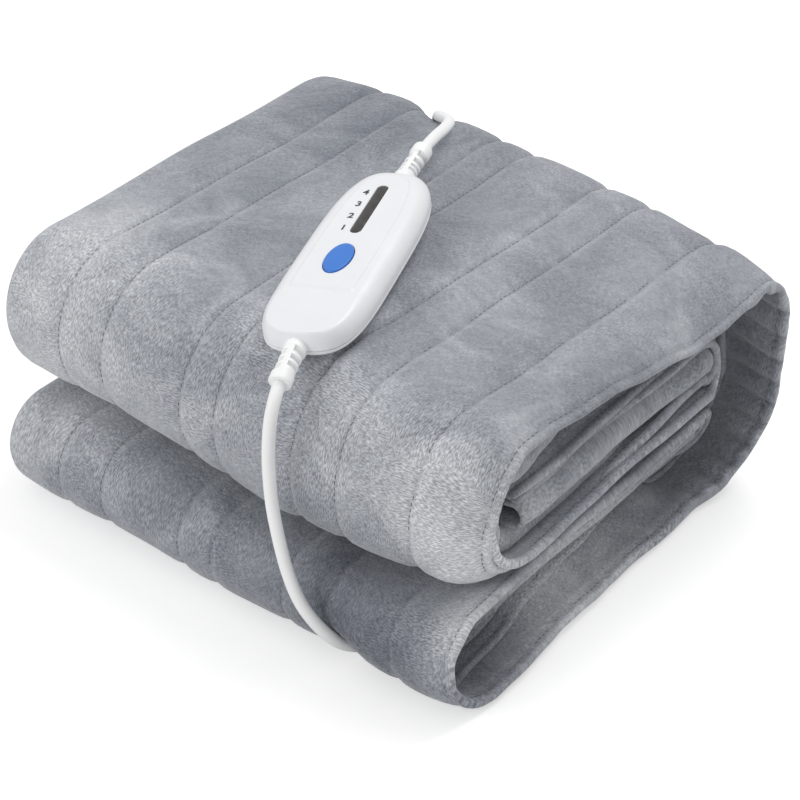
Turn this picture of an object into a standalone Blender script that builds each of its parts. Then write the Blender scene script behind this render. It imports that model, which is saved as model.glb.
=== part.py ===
"""A heated throw folded into a stack, with its hand controller, cords, coils and plug.

Metres, +Z up. The folded throw stands on z = 0, centred on the origin. The folds across the
throw run along X, the rounded bundles face -Y, and the open hems face +X.
"""

import math
from collections import namedtuple

import bmesh
import bpy
import numpy as np
from mathutils import Matrix, Vector

# ---------------------------------------------------------------- driving dimensions

THROW_WIDTH = 1.270
PLIES = 4
FOLDED_WIDTH = THROW_WIDTH / PLIES
HALF_WIDTH = FOLDED_WIDTH / 2 - 0.0008
LAYER_GAP = 0.0025  # air between two neighbouring layers of the stack
THICKEST_LAYER = 0.032

TOP_CORNER_RADIUS = 0.032  # outside of the back wrap, at the top
BOTTOM_CORNER_RADIUS = 0.055  # outside of the back wrap, at the bottom
UPPER_TURN_Y = 0.070  # where the upper flap turns, inside the wrap
LOWER_TURN_Y = 0.088
FREE_END_TUCK = 0.004  # how far a free end reaches into its front fold

# The stack's outline at stations along X: height of the top face at the front and the back,
# height of the gap between the two bundles, and the outermost Y of each front and of the back.
Station = namedtuple("Station", "x top_front top_back gap front_up front_low back")
STATIONS = (
    Station(-0.158, 0.143, 0.146, 0.058, -0.130, -0.1438, 0.1462),
    Station(-0.120, 0.147, 0.150, 0.057, -0.133, -0.1448, 0.1462),
    Station(-0.060, 0.1457, 0.1507, 0.053, -0.134, -0.1448, 0.145),
    Station(0.000, 0.1447, 0.1507, 0.046, -0.135, -0.1448, 0.143),
    Station(0.060, 0.1447, 0.1487, 0.050, -0.134, -0.1454, 0.138),
    Station(0.120, 0.142, 0.144, 0.054, -0.132, -0.1468, 0.134),
    Station(0.158, 0.137, 0.139, 0.064, -0.126, -0.1468, 0.130),
)

# The stretches of the folded section, from the free end in the upper bundle to the free end in
# the lower one: how many steps each takes, and where its first row ends at the two sides.
Stretch = namedtuple("Stretch", "name steps left right")
STRETCHES = (
    Stretch("upper_flap", 7, -0.1570, 0.1460),
    Stretch("upper_turn", 7, -0.1570, 0.1440),
    Stretch("upper_return", 6, -0.1565, 0.1430),
    Stretch("upper_front", 11, -0.1575, 0.1470),
    Stretch("top", 9, -HALF_WIDTH, 0.1520),
    Stretch("top_corner", 6, -0.1575, 0.1550),
    Stretch("back_wall", 4, -0.1570, HALF_WIDTH),
    Stretch("bottom_corner", 7, -0.1565, 0.1540),
    Stretch("bottom", 9, -0.1560, 0.1400),
    Stretch("lower_front", 9, -0.1575, 0.1500),
    Stretch("lower_return", 6, -0.1570, 0.1490),
    Stretch("lower_turn", 6, -0.1560, 0.1430),
    Stretch("lower_flap", 6, -0.1560, 0.1420),
)
LAST_ROW = Stretch("end", 0, -0.1565, 0.1480)

# Columns of the loft as shares of the width, and the share of the full thickness there: the
# folded side at -X is round, and the hems at +X are a little thinner than the stack.
Column = namedtuple("Column", "share thickness")
COLUMNS = (
    Column(0.000, 0.35),
    Column(0.007, 0.72),
    Column(0.018, 0.91),
    Column(0.034, 1.00),
    Column(0.11, 1.00),
    Column(0.20, 1.00),
    Column(0.29, 1.00),
    Column(0.38, 1.00),
    Column(0.47, 1.00),
    Column(0.56, 1.00),
    Column(0.65, 1.00),
    Column(0.74, 1.00),
    Column(0.83, 1.00),
    Column(0.91, 1.00),
    Column(0.97, 0.98),
    Column(0.992, 0.86),
    Column(1.000, 0.62),
)
END_ROW_THICKNESS = (0.55, 0.92)  # rounding of the two free ends, from the end inwards

# Controller: plan outline, heights above its own flat base, and where it lies on the stack.
CONTROLLER_LENGTH = 0.153
CONTROLLER_WIDTH = 0.054
CONTROLLER_TAPER = 0.03  # how much narrower the upper end is
TAPER_POWER = 1.4
UPPER_END_POWER = 0.60  # roundness of the outline at its two ends and at its sides
LOWER_END_POWER = 0.44
SIDE_POWER = 0.62
CONTROLLER_PLACE = Vector((-0.0001, -0.0378, 0.1511))
CONTROLLER_YAW = math.radians(19.5)
CONTROLLER_TILT = math.radians(3.4)
CONTROLLER_ROLL = math.radians(6.0)
PARTING_HEIGHT = 0.0034
PARTING_GAP = 0.0003
WALL_TOP = 0.0060
SHOULDER_WIDTH = 0.0109
LOW_SHOULDER_WIDTH = 0.0035  # at the very end of the ramp
FACE_LOW_U = -0.0385  # lower edge of the face, along the controller
FACE_HIGH_U = 0.064
FACE_LOW_HEIGHT = 0.0165
FACE_HIGH_HEIGHT = 0.0162
RAMP_TOP_U = -0.0415
RAMP_TOP_HEIGHT = 0.0157
RAMP_FOOT_HEIGHT = 0.0138  # at the lower end of the controller
FACE_SLOPE = math.atan2(FACE_LOW_HEIGHT - FACE_HIGH_HEIGHT, FACE_HIGH_U - FACE_LOW_U)
OUTLINE_STEPS = 48
# The shells' skins as rings drawn in from the outline: (inset, height) of the lower one, and
# the insets of the upper one, whose heights follow its rounded sides, ramp and face.
BASE_RINGS = ((0.0050, 0.0), (0.0018, 0.0008), (0.0004, 0.0024), (0.0, PARTING_HEIGHT))
TOP_INSETS = (0.0, 0.0004, 0.0012, 0.0025, 0.0045, 0.0070, SHOULDER_WIDTH, 0.0150, 0.0200)

BUTTON_U = -0.0142
BUTTON_HALF_LENGTH = 0.0130
BUTTON_HALF_WIDTH = 0.0067
BUTTON_HEIGHT = 0.0056
BUTTON_PROUD = 0.0012
BUTTON_EDGE = 0.0008
BUTTON_CLEARANCE = 0.0004
BUTTON_TRAVEL = 0.0010
WINDOW_U = 0.0326
WINDOW_V = -0.0007
WINDOW_LENGTH = 0.0455
WINDOW_WIDTH = 0.0054
WINDOW_DEPTH = 0.0016
WINDOW_CLEARANCE = 0.0003
CUTTER_TOP = 0.010  # how far the cutters reach above the face

# Cords.
CORD_DIAMETER = 0.0065
CORD_RADIUS = CORD_DIAMETER / 2
TOUCH_GAP = 0.0003
BOOT_TIP_GAP = 0.0008
CLOTH_CLEARANCE = 0.0020
COIL_Y = 0.172
MAINS_COIL_X = 0.052
MAINS_COIL_TURNS_WIDE = 3
LEAD_COIL_X = -0.072
LEAD_COIL_TURNS_WIDE = 2
COIL_MEAN_RADIUS = 0.034
COIL_LAYERS = 2
COIL_EDGE = 0.6 * CORD_RADIUS
COIL_STEPS = 36
BOOT_ROOT_RADIUS = 0.0059
BOOT_TIP_RADIUS = 0.0058
CORD_POINT_SPACING = 2.2 * CORD_DIAMETER
BOOT_POINT_SPACING = 0.004
END_STEP = 0.25  # first and last step of a tube, as a share of its other steps

# Routes chosen by hand through the places that each cord passes.
UPPER_BOOT_ROUTE = (
    (-0.02612, 0.03398, 0.16102),
    (-0.02752, 0.03793, 0.16126),
    (-0.03048, 0.04644, 0.16160),
    (-0.0333, 0.0614, 0.1662),
)
LOWER_BOOT_ROUTE = (
    (0.02508, -0.11054, 0.15171),
    (0.02649, -0.11448, 0.15136),
    (0.02929, -0.12186, 0.14920),
    (0.0337, -0.1327, 0.1466),
)
LEAD_ROUTE = (
    (-0.0333, 0.0614, 0.1662),
    (-0.0388, 0.0780, 0.1648),
    (-0.0449, 0.0946, 0.1612),
    (-0.0512, 0.1070, 0.1582),
    (-0.0595, 0.1143, 0.1545),
    (-0.0675, 0.1200, 0.1506),
    (-0.0742, 0.1270, 0.1460),
    (-0.0802, 0.1345, 0.1398),
    (-0.0862, 0.1412, 0.1315),
    (-0.0925, 0.1475, 0.1200),
    (-0.0990, 0.1515, 0.1065),
    (-0.1070, 0.1545, 0.0905),
    (-0.1162, 0.1568, 0.0730),
    (-0.1262, 0.1600, 0.0548),
    (-0.1360, 0.1645, 0.0370),
    (-0.1435, 0.1725, 0.0215),
    (-0.1462, 0.1825, 0.0105),
    (-0.1430, 0.1932, 0.0052),
    (-0.1340, 0.2025, 0.00355),
    (-0.1215, 0.2080, 0.00335),
    (-0.1075, 0.20925, 0.00335),
    (-0.0946, 0.20925, 0.00335),
)
MAINS_ROUTE = (
    (0.0337, -0.1327, 0.1466),
    (0.0361, -0.1392, 0.1420),
    (0.0371, -0.1436, 0.1335),
    (0.0369, -0.1453, 0.1210),
    (0.0376, -0.1466, 0.1062),
    (0.0404, -0.1483, 0.0885),
    (0.0457, -0.1503, 0.0718),
    (0.0520, -0.1518, 0.0555),
    (0.0591, -0.1519, 0.0412),
    (0.0660, -0.1497, 0.0305),
    (0.0712, -0.1450, 0.0212),
    (0.0746, -0.1380, 0.0130),
    (0.0775, -0.1285, 0.0070),
    (0.0802, -0.1165, 0.0042),
    (0.0835, -0.0990, 0.00335),
    (0.0872, -0.0720, 0.00335),
    (0.0902, -0.0380, 0.00335),
    (0.0920, 0.0100, 0.00335),
    (0.0925, 0.0600, 0.00335),
    (0.0925, 0.1080, 0.00335),
    (0.0925, 0.1484, 0.00335),
)
# The stretches of the two routes, by their points, that lie in hollows of the soft stack.
LEAD_IN_STACK = (4, 11)
MAINS_IN_STACK = (8, 20)
PLUG_BOOT_ROUTE = ((0.0280, 0.2125, 0.0098), (0.0175, 0.2125, 0.0095), (0.0067, 0.2125, 0.0095))
SOCKET_BOOT_ROUTE = ((-0.0948, 0.13475, 0.0080), (-0.1100, 0.13475, 0.0047), (-0.1221, 0.13475, 0.0044))

# Plug and blanket socket.
PLUG_BOOT_RADII = (0.0036, 0.0056)
SOCKET_BOOT_RADII = (0.0036, 0.0043)
PLUG_SIZE = Vector((0.0280, 0.0240, 0.0190))
PLUG_PLACE = Vector((-0.0077, 0.2125, 0.0095))
BLADE_SIZE = Vector((0.0170, 0.0015, 0.0063))
BLADE_SPACING = 0.0127
PLUG_EDGE = 0.0035
SOCKET_EDGE = 0.0015
SOCKET_SIZE = Vector((0.0330, 0.0268, 0.0088))
SOCKET_PLACE = Vector((-0.1390, 0.13475, 0.0044))


# ---------------------------------------------------------------- scene and materials


def clear_scene():
    """Empties the scene, and gives the collections for the parts and for the cutters."""
    for thing in list(bpy.data.objects):
        bpy.data.objects.remove(thing)
    parts = bpy.data.collections.new("heated_throw")
    cutters = bpy.data.collections.new("cutters")
    bpy.context.scene.collection.children.link(parts)
    bpy.context.scene.collection.children.link(cutters)
    return parts, cutters


def finish(name, colour, roughness, metallic=0.0):
    """A plain material of one colour."""
    material = bpy.data.materials.new(name)
    material.use_nodes = True
    shader = material.node_tree.nodes["Principled BSDF"]
    shader.inputs["Base Color"].default_value = (*colour, 1.0)
    shader.inputs["Roughness"].default_value = roughness
    shader.inputs["Metallic"].default_value = metallic
    return material


def mesh_object(name, shape, collection, material=None):
    """An object from a finished bmesh."""
    mesh = bpy.data.meshes.new(name)
    shape.to_mesh(mesh)
    shape.free()
    thing = bpy.data.objects.new(name, mesh)
    if material is not None:
        mesh.materials.append(material)
    collection.objects.link(thing)
    return thing


def smooth(thing, angle=math.radians(35)):
    """Shades a round piece smooth, apart from its real edges."""
    thing.data.shade_smooth()
    thing.data.set_sharp_from_angle(angle=angle)


def as_cutter(thing):
    """Marks a cutter, which isn't part of the object."""
    thing.hide_render = True
    thing.display_type = "WIRE"


def cut(thing, cutter):
    """Takes the cutter's shape out of the object."""
    boolean = thing.modifiers.new(cutter.name, "BOOLEAN")
    boolean.operation = "DIFFERENCE"
    boolean.solver = "EXACT"
    boolean.object = cutter


# ---------------------------------------------------------------- the folded throw


def eased(share):
    """A share from 0 to 1 with a soft start and end."""
    return share * share * (3 - 2 * share)


def station_at(x):
    """The stack's outline sizes at any X, between the rows of STATIONS."""
    rows = STATIONS
    x = min(max(x, rows[0].x), rows[-1].x)
    index = max(i for i in range(len(rows) - 1) if rows[i].x <= x)
    low, high = rows[index], rows[index + 1]
    share = eased((x - low.x) / (high.x - low.x))
    return Station(*(a + (b - a) * share for a, b in zip(low, high)))


def lower_thickness(station):
    return (station.gap - 2.5 * LAYER_GAP) / 3


def upper_thickness(station, y):
    """Thickness of one layer of the upper bundle, which is taller at the back."""
    front, back = station.front_up, station.back - TOP_CORNER_RADIUS
    share = min(max((y - front) / (back - front), 0), 1)
    top = station.top_front + (station.top_back - station.top_front) * share
    return (top - station.gap - 2.5 * LAYER_GAP) / 3


def upper_height(station, y, place):
    """Height of the middle of a layer in the upper bundle; place 0 is the lowest layer."""
    thick = upper_thickness(station, y)
    return station.gap + LAYER_GAP / 2 + thick / 2 + place * (thick + LAYER_GAP)


def lower_height(station, place):
    """Height of the middle of a layer in the lower bundle; place 0 lies on the surface."""
    thick = lower_thickness(station)
    return thick / 2 + place * (thick + LAYER_GAP)


def around(centre_y, centre_z, radius, from_deg, to_deg, share):
    """A point on an arc in the YZ plane, measured from +Y towards +Z."""
    angle = math.radians(from_deg + (to_deg - from_deg) * share)
    return centre_y + radius * math.cos(angle), centre_z + radius * math.sin(angle)


def section_point(station, stretch, share):
    """(y, z, thickness) of the layer's middle, at a share of one stretch of the section."""
    low = lower_thickness(station)
    low_pitch = low + LAYER_GAP
    fold_up = station.front_up + 1.5 * (upper_thickness(station, station.front_up) + LAYER_GAP)
    fold_low = station.front_low + 1.5 * low_pitch
    corner_y = station.back - TOP_CORNER_RADIUS
    corner_z = station.top_back - TOP_CORNER_RADIUS
    wall = upper_thickness(station, corner_y)
    floor_y = station.back - BOTTOM_CORNER_RADIUS
    if stretch == "upper_flap":
        y = fold_up - FREE_END_TUCK + (UPPER_TURN_Y - fold_up + FREE_END_TUCK) * share
        return y, upper_height(station, y, 1), upper_thickness(station, y)
    if stretch == "upper_turn":
        high, deep = (upper_height(station, UPPER_TURN_Y, place) for place in (1, 0))
        y, z = around(UPPER_TURN_Y, (high + deep) / 2, (high - deep) / 2, 90, -90, share)
        return y, z, upper_thickness(station, UPPER_TURN_Y)
    if stretch == "upper_return":
        y = UPPER_TURN_Y + (fold_up - UPPER_TURN_Y) * share
        return y, upper_height(station, y, 0), upper_thickness(station, y)
    if stretch == "upper_front":
        high, deep = (upper_height(station, fold_up, place) for place in (2, 0))
        y, z = around(fold_up, (high + deep) / 2, (high - deep) / 2, -90, -270, share)
        return y, z, upper_thickness(station, fold_up)
    if stretch == "top":
        y = fold_up + (corner_y - fold_up) * share
        return y, upper_height(station, y, 2), upper_thickness(station, y)
    if stretch == "top_corner":
        y, z = around(corner_y, corner_z, TOP_CORNER_RADIUS - wall / 2, 90, 0, share)
        return y, z, wall
    if stretch == "back_wall":
        thick = wall + (low - wall) * eased(share)
        z = corner_z + (BOTTOM_CORNER_RADIUS - corner_z) * share
        return station.back - thick / 2, z, thick
    if stretch == "bottom_corner":
        radius = BOTTOM_CORNER_RADIUS - low / 2
        y, z = around(floor_y, BOTTOM_CORNER_RADIUS, radius, 0, -90, share)
        return y, z, low
    if stretch == "bottom":
        return floor_y + (fold_low - floor_y) * share, lower_height(station, 0), low
    if stretch == "lower_front":
        y, z = around(fold_low, lower_height(station, 1), low_pitch, -90, -270, share)
        return y, z, low
    if stretch == "lower_return":
        return fold_low + (LOWER_TURN_Y - fold_low) * share, lower_height(station, 2), low
    if stretch == "lower_turn":
        middle = lower_height(station, 1.5)
        y, z = around(LOWER_TURN_Y, middle, low_pitch / 2, 90, -90, share)
        return y, z, low
    end_y = fold_low - FREE_END_TUCK
    return LOWER_TURN_Y + (end_y - LOWER_TURN_Y) * share, lower_height(station, 1), low


def section_rows():
    """Each row along the section: its stretch, its share of it, and its left and right ends."""
    rows = []
    for stretch, following in zip(STRETCHES, STRETCHES[1:] + (LAST_ROW,)):
        for step in range(stretch.steps):
            share = step / stretch.steps
            left = stretch.left + (following.left - stretch.left) * share
            right = stretch.right + (following.right - stretch.right) * share
            rows.append((stretch.name, share, left, right))
    rows.append((STRETCHES[-1].name, 1.0, LAST_ROW.left, LAST_ROW.right))
    return rows


def make_throw(collection, material):
    """The folded throw: its middle surface as a bent grid, thickened into one solid."""
    rows = section_rows()
    shape = bmesh.new()
    bmesh.ops.create_grid(shape, x_segments=len(COLUMNS) - 1, y_segments=len(rows) - 1, size=0.5)
    weights = shape.verts.layers.deform.verify()
    shape.verts.ensure_lookup_table()
    order = sorted(shape.verts, key=lambda v: (round(v.co.y, 6), round(v.co.x, 6)))
    ends = {0: END_ROW_THICKNESS[0], 1: END_ROW_THICKNESS[1]}
    ends.update({len(rows) - 1 - row: share for row, share in list(ends.items())})
    for place, vertex in enumerate(order):
        row, column = divmod(place, len(COLUMNS))
        stretch, share, left, right = rows[row]
        x = left + (right - left) * COLUMNS[column].share
        y, z, thick = section_point(station_at(x), stretch, share)
        vertex.co = (x, y, z)
        vertex[weights][0] = thick * COLUMNS[column].thickness * ends.get(row, 1.0) / THICKEST_LAYER
    throw = mesh_object("blanket", shape, collection, material)
    throw.vertex_groups.new(name="loft")
    solidify = throw.modifiers.new("layer", "SOLIDIFY")
    solidify.thickness = THICKEST_LAYER
    solidify.offset = 0.0
    solidify.vertex_group = "loft"
    smooth(throw)
    return throw


# ---------------------------------------------------------------- controller


def controller_frame():
    """The controller's axes in the world: u along it to its upper end, v to its right, n up."""
    turn = Matrix.Rotation(CONTROLLER_YAW, 4, "Z")
    tilt = Matrix.Rotation(CONTROLLER_TILT, 4, "X")
    roll = Matrix.Rotation(-CONTROLLER_ROLL, 4, "Y")
    return Matrix.Translation(CONTROLLER_PLACE) @ turn @ tilt @ roll


def outline(inset):
    """The controller's plan outline as (v, u) points, drawn in by an inset."""
    points = []
    for step in range(OUTLINE_STEPS):
        angle = 2 * math.pi * step / OUTLINE_STEPS
        across, along = math.cos(angle), math.sin(angle)
        power = UPPER_END_POWER if along > 0 else LOWER_END_POWER
        u = (CONTROLLER_LENGTH / 2 - inset) * math.copysign(abs(along) ** power, along)
        v = (CONTROLLER_WIDTH / 2 - inset) * math.copysign(abs(across) ** SIDE_POWER, across)
        reach = max(u / CONTROLLER_LENGTH + 0.5, 0)
        points.append((v * (1 - CONTROLLER_TAPER * reach**TAPER_POWER), u))
    return points


def face_height(u):
    """Height of the controller's face, or of the step and ramp below it, above the base."""
    if u > FACE_LOW_U:
        return FACE_LOW_HEIGHT - (u - FACE_LOW_U) * math.tan(FACE_SLOPE)
    if u > RAMP_TOP_U:
        share = (FACE_LOW_U - u) / (FACE_LOW_U - RAMP_TOP_U)
        return FACE_LOW_HEIGHT + (RAMP_TOP_HEIGHT - FACE_LOW_HEIGHT) * share
    share = (RAMP_TOP_U - u) / (RAMP_TOP_U + CONTROLLER_LENGTH / 2)
    return RAMP_TOP_HEIGHT + (RAMP_FOOT_HEIGHT - RAMP_TOP_HEIGHT) * share


def skin_height(u, inset):
    """Height of the upper shell at an inset from its edge: rounded side, then face or ramp."""
    share = min(max((FACE_LOW_U - u) / (FACE_LOW_U + CONTROLLER_LENGTH / 2), 0), 1)
    width = SHOULDER_WIDTH + (LOW_SHOULDER_WIDTH - SHOULDER_WIDTH) * share
    left = max(1 - inset / width, 0)
    side = WALL_TOP + (FACE_LOW_HEIGHT - WALL_TOP) * math.sqrt(1 - left * left)
    return min(side, face_height(u))


def loft(rings):
    """A closed solid through rings of equally many points, first and last ring closed off."""
    shape = bmesh.new()
    loops = [[shape.verts.new(point) for point in ring] for ring in rings]
    count = len(rings[0])
    for low, high in zip(loops, loops[1:]):
        for i in range(count):
            shape.faces.new((low[i], low[(i + 1) % count], high[(i + 1) % count], high[i]))
    shape.faces.new(list(reversed(loops[0])))
    shape.faces.new(loops[-1])
    bmesh.ops.recalc_face_normals(shape, faces=shape.faces)
    return shape


def make_controller_base(collection, material, frame):
    """The lower shell of the controller, with a rounded rim."""
    rings = [[(v, u, height) for v, u in outline(inset)] for inset, height in BASE_RINGS]
    base = mesh_object("controller_base", loft(rings), collection, material)
    base.parent = frame
    smooth(base)


def make_controller_top(collection, material, frame):
    """The upper shell: low upright wall, rounded sides, ramp and face."""
    rings = [[(v, u, PARTING_HEIGHT + PARTING_GAP) for v, u in outline(0)]]
    for inset in TOP_INSETS:
        rings.append([(v, u, skin_height(u, inset)) for v, u in outline(inset)])
    top = mesh_object("controller_top", loft(rings), collection, material)
    top.parent = frame
    smooth(top)
    return top


def prism(name, outline_points, low, high, collection, material=None):
    """An outline raised into a solid between two heights."""
    shape = bmesh.new()
    face = shape.faces.new([shape.verts.new((x, y, low)) for x, y in outline_points])
    raised = bmesh.ops.extrude_face_region(shape, geom=[face])["geom"]
    bmesh.ops.translate(
        shape,
        vec=(0, 0, high - low),
        verts=[item for item in raised if isinstance(item, bmesh.types.BMVert)],
    )
    bmesh.ops.recalc_face_normals(shape, faces=shape.faces)
    return mesh_object(name, shape, collection, material)


def oval(half_x, half_y, steps=40):
    return [
        (half_x * math.cos(2 * math.pi * i / steps), half_y * math.sin(2 * math.pi * i / steps))
        for i in range(steps)
    ]


def stadium(width, length, steps=12):
    """A slot outline with round ends, long along Y."""
    radius, reach = width / 2, (length - width) / 2
    points = []
    for end, start in ((1, 0), (-1, 180)):
        for step in range(steps + 1):
            angle = math.radians(start + 180 * step / steps)
            points.append((radius * math.cos(angle), end * reach + radius * math.sin(angle)))
    return points


def face_frame(parent, u, v, collection):
    """An empty on the controller's face, with its own Z out of the face."""
    frame = bpy.data.objects.new("face_frame", None)
    collection.objects.link(frame)
    frame.parent = parent
    frame.location = (v, u, face_height(u))
    frame.rotation_euler = (-FACE_SLOPE, 0, 0)
    return frame


def make_button(collection, cutters, material, frame, top):
    """The power button on its own axis, and the well that it slides in."""
    axis = face_frame(frame, BUTTON_U, 0, collection)
    low = BUTTON_PROUD - BUTTON_HEIGHT
    button = prism(
        "power_button",
        oval(BUTTON_HALF_WIDTH, BUTTON_HALF_LENGTH),
        low,
        BUTTON_PROUD,
        collection,
        material,
    )
    bevel = button.modifiers.new("rim", "BEVEL")
    bevel.width = BUTTON_EDGE
    bevel.segments = 2
    bevel.limit_method = "ANGLE"
    button.parent = axis
    smooth(button)
    well = prism(
        "button_well",
        oval(BUTTON_HALF_WIDTH + BUTTON_CLEARANCE, BUTTON_HALF_LENGTH + BUTTON_CLEARANCE),
        low - BUTTON_TRAVEL - TOUCH_GAP,
        CUTTER_TOP,
        cutters,
    )
    well.parent = axis
    as_cutter(well)
    cut(top, well)


def make_window(collection, cutters, material, frame, top):
    """The dark level window in its shallow slot."""
    place = face_frame(frame, WINDOW_U, WINDOW_V, collection)
    window = prism(
        "level_window",
        stadium(WINDOW_WIDTH, WINDOW_LENGTH),
        -WINDOW_DEPTH,
        -TOUCH_GAP,
        collection,
        material,
    )
    window.parent = place
    smooth(window)
    slot = prism(
        "window_slot",
        stadium(WINDOW_WIDTH + 2 * WINDOW_CLEARANCE, WINDOW_LENGTH + 2 * WINDOW_CLEARANCE),
        -WINDOW_DEPTH - TOUCH_GAP,
        CUTTER_TOP,
        cutters,
    )
    slot.parent = place
    as_cutter(slot)
    cut(top, slot)


# ---------------------------------------------------------------- cords, coils, plug and socket


def smooth_route(route, spacing, before=None, after=None):
    """Points at about equal steps along a smooth curve through the route's points.

    The points before and after it, where another route joins on, set its direction at the ends.
    """
    knots = np.array(route)
    start = 2 * knots[0] - knots[1] if before is None else before
    end = 2 * knots[-1] - knots[-2] if after is None else after
    padded = np.vstack([start, knots, end])
    fine = []
    for i in range(1, len(padded) - 2):
        before, start, end, after = padded[i - 1 : i + 3]
        for t in np.linspace(0, 1, 24, endpoint=False):
            bend = 2 * before - 5 * start + 4 * end - after
            twist = -before + 3 * start - 3 * end + after
            fine.append(0.5 * (2 * start + (end - before) * t + bend * t**2 + twist * t**3))
    fine.append(knots[-1])
    fine = np.array(fine)
    run = np.concatenate([[0], np.cumsum(np.linalg.norm(np.diff(fine, axis=0), axis=1))])
    count = max(int(round(run[-1] / spacing)), 2)
    places = np.linspace(0, run[-1], count + 1)
    short = END_STEP * places[1]
    places = np.concatenate([places[:1], [short], places[1:-1], [run[-1] - short], places[-1:]])
    return np.column_stack([np.interp(places, run, fine[:, axis]) for axis in range(3)])


def make_tube(name, points, radii, collection, material=None, resolution=2):
    """A round tube through the points, with its radius at each of them."""
    curve = bpy.data.curves.new(name, "CURVE")
    curve.dimensions = "3D"
    curve.bevel_depth = 1.0
    curve.bevel_resolution = resolution
    curve.use_fill_caps = True
    spline = curve.splines.new("POLY")
    spline.points.add(len(points) - 1)
    for spot, point, radius in zip(spline.points, points, radii):
        spot.co = (*point, 1.0)
        spot.radius = radius
    if material is not None:
        curve.materials.append(material)
    thing = bpy.data.objects.new(name, curve)
    collection.objects.link(thing)
    return thing


def make_cord(name, route, before, collection, material):
    """The stretch of a cord that isn't coiled, a touch short where it leaves its boot."""
    points = smooth_route(route, CORD_POINT_SPACING, before=before)
    inward = points[1] - points[0]
    points[0] += inward / np.linalg.norm(inward) * BOOT_TIP_GAP
    return make_tube(name, points, [CORD_RADIUS] * len(points), collection, material)


def make_boot(name, route, after, radii, collection, material):
    """A tapered strain relief along a short bent route."""
    points = smooth_route(route, BOOT_POINT_SPACING, after=after)
    sizes = np.linspace(*radii, len(points))
    return make_tube(name, points, sizes, collection, material, resolution=3)


def make_channel(name, route, stretch, throw, cutters):
    """The hollow that a cord presses into the stack along one stretch of its route."""
    first, last = stretch
    points = smooth_route(route[first : last + 1], CORD_POINT_SPACING)
    radius = CORD_RADIUS + CLOTH_CLEARANCE
    guide = make_tube("channel_guide", points, [radius] * len(points), cutters)
    bpy.context.view_layer.update()
    solid = guide.evaluated_get(bpy.context.evaluated_depsgraph_get())
    mesh = bpy.data.meshes.new_from_object(solid)
    shape = bmesh.new()
    shape.from_mesh(mesh)
    bmesh.ops.remove_doubles(shape, verts=shape.verts, dist=1e-6)
    channel = mesh_object(name, shape, cutters)
    channel.matrix_world = guide.matrix_world
    bpy.data.objects.remove(guide)
    as_cutter(channel)
    cut(throw, channel)


def make_coil(name, centre_x, turns_wide, collection, material):
    """The outer shape of a wound coil: a flat-sided ring turned about its own middle."""
    half = turns_wide * CORD_RADIUS
    inner, outer = COIL_MEAN_RADIUS - half, COIL_MEAN_RADIUS + half
    high = COIL_LAYERS * CORD_DIAMETER
    profile = (
        (outer - COIL_EDGE, high),
        (outer, high - COIL_EDGE),
        (outer, COIL_EDGE),
        (outer - COIL_EDGE, 0),
        (inner + COIL_EDGE, 0),
        (inner, COIL_EDGE),
        (inner, high - COIL_EDGE),
        (inner + COIL_EDGE, high),
    )
    shape = bmesh.new()
    corners = [shape.verts.new((x, 0, z)) for x, z in profile]
    for i, corner in enumerate(corners):
        shape.edges.new((corner, corners[(i + 1) % len(corners)]))
    coil = mesh_object(name, shape, collection, material)
    coil.location = (centre_x, COIL_Y, 0)
    screw = coil.modifiers.new("turn", "SCREW")
    screw.axis = "Z"
    screw.steps = COIL_STEPS
    screw.render_steps = COIL_STEPS
    screw.use_merge_vertices = True
    screw.merge_threshold = 0.0001


def make_block(name, size, place, bevel_width, collection, material):
    """A rounded block, such as the plug's body."""
    shape = bmesh.new()
    bmesh.ops.create_cube(shape, size=1.0, matrix=Matrix.Diagonal((*size, 1.0)))
    block = mesh_object(name, shape, collection, material)
    block.location = place
    if bevel_width:
        bevel = block.modifiers.new("round", "BEVEL")
        bevel.width = bevel_width
        bevel.segments = 3
        smooth(block)


def make_plug(collection, white, metal):
    """The plug on the floor beside its coil, with two flat blades."""
    make_block("mains_plug", PLUG_SIZE, PLUG_PLACE, PLUG_EDGE, collection, white)
    for number, side in enumerate((-1, 1), start=1):
        place = PLUG_PLACE - Vector((PLUG_SIZE.x / 2 + TOUCH_GAP + BLADE_SIZE.x / 2, 0, 0))
        place.y += side * BLADE_SPACING / 2
        make_block(f"plug_blade_{number}", BLADE_SIZE, place, 0, collection, metal)


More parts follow.
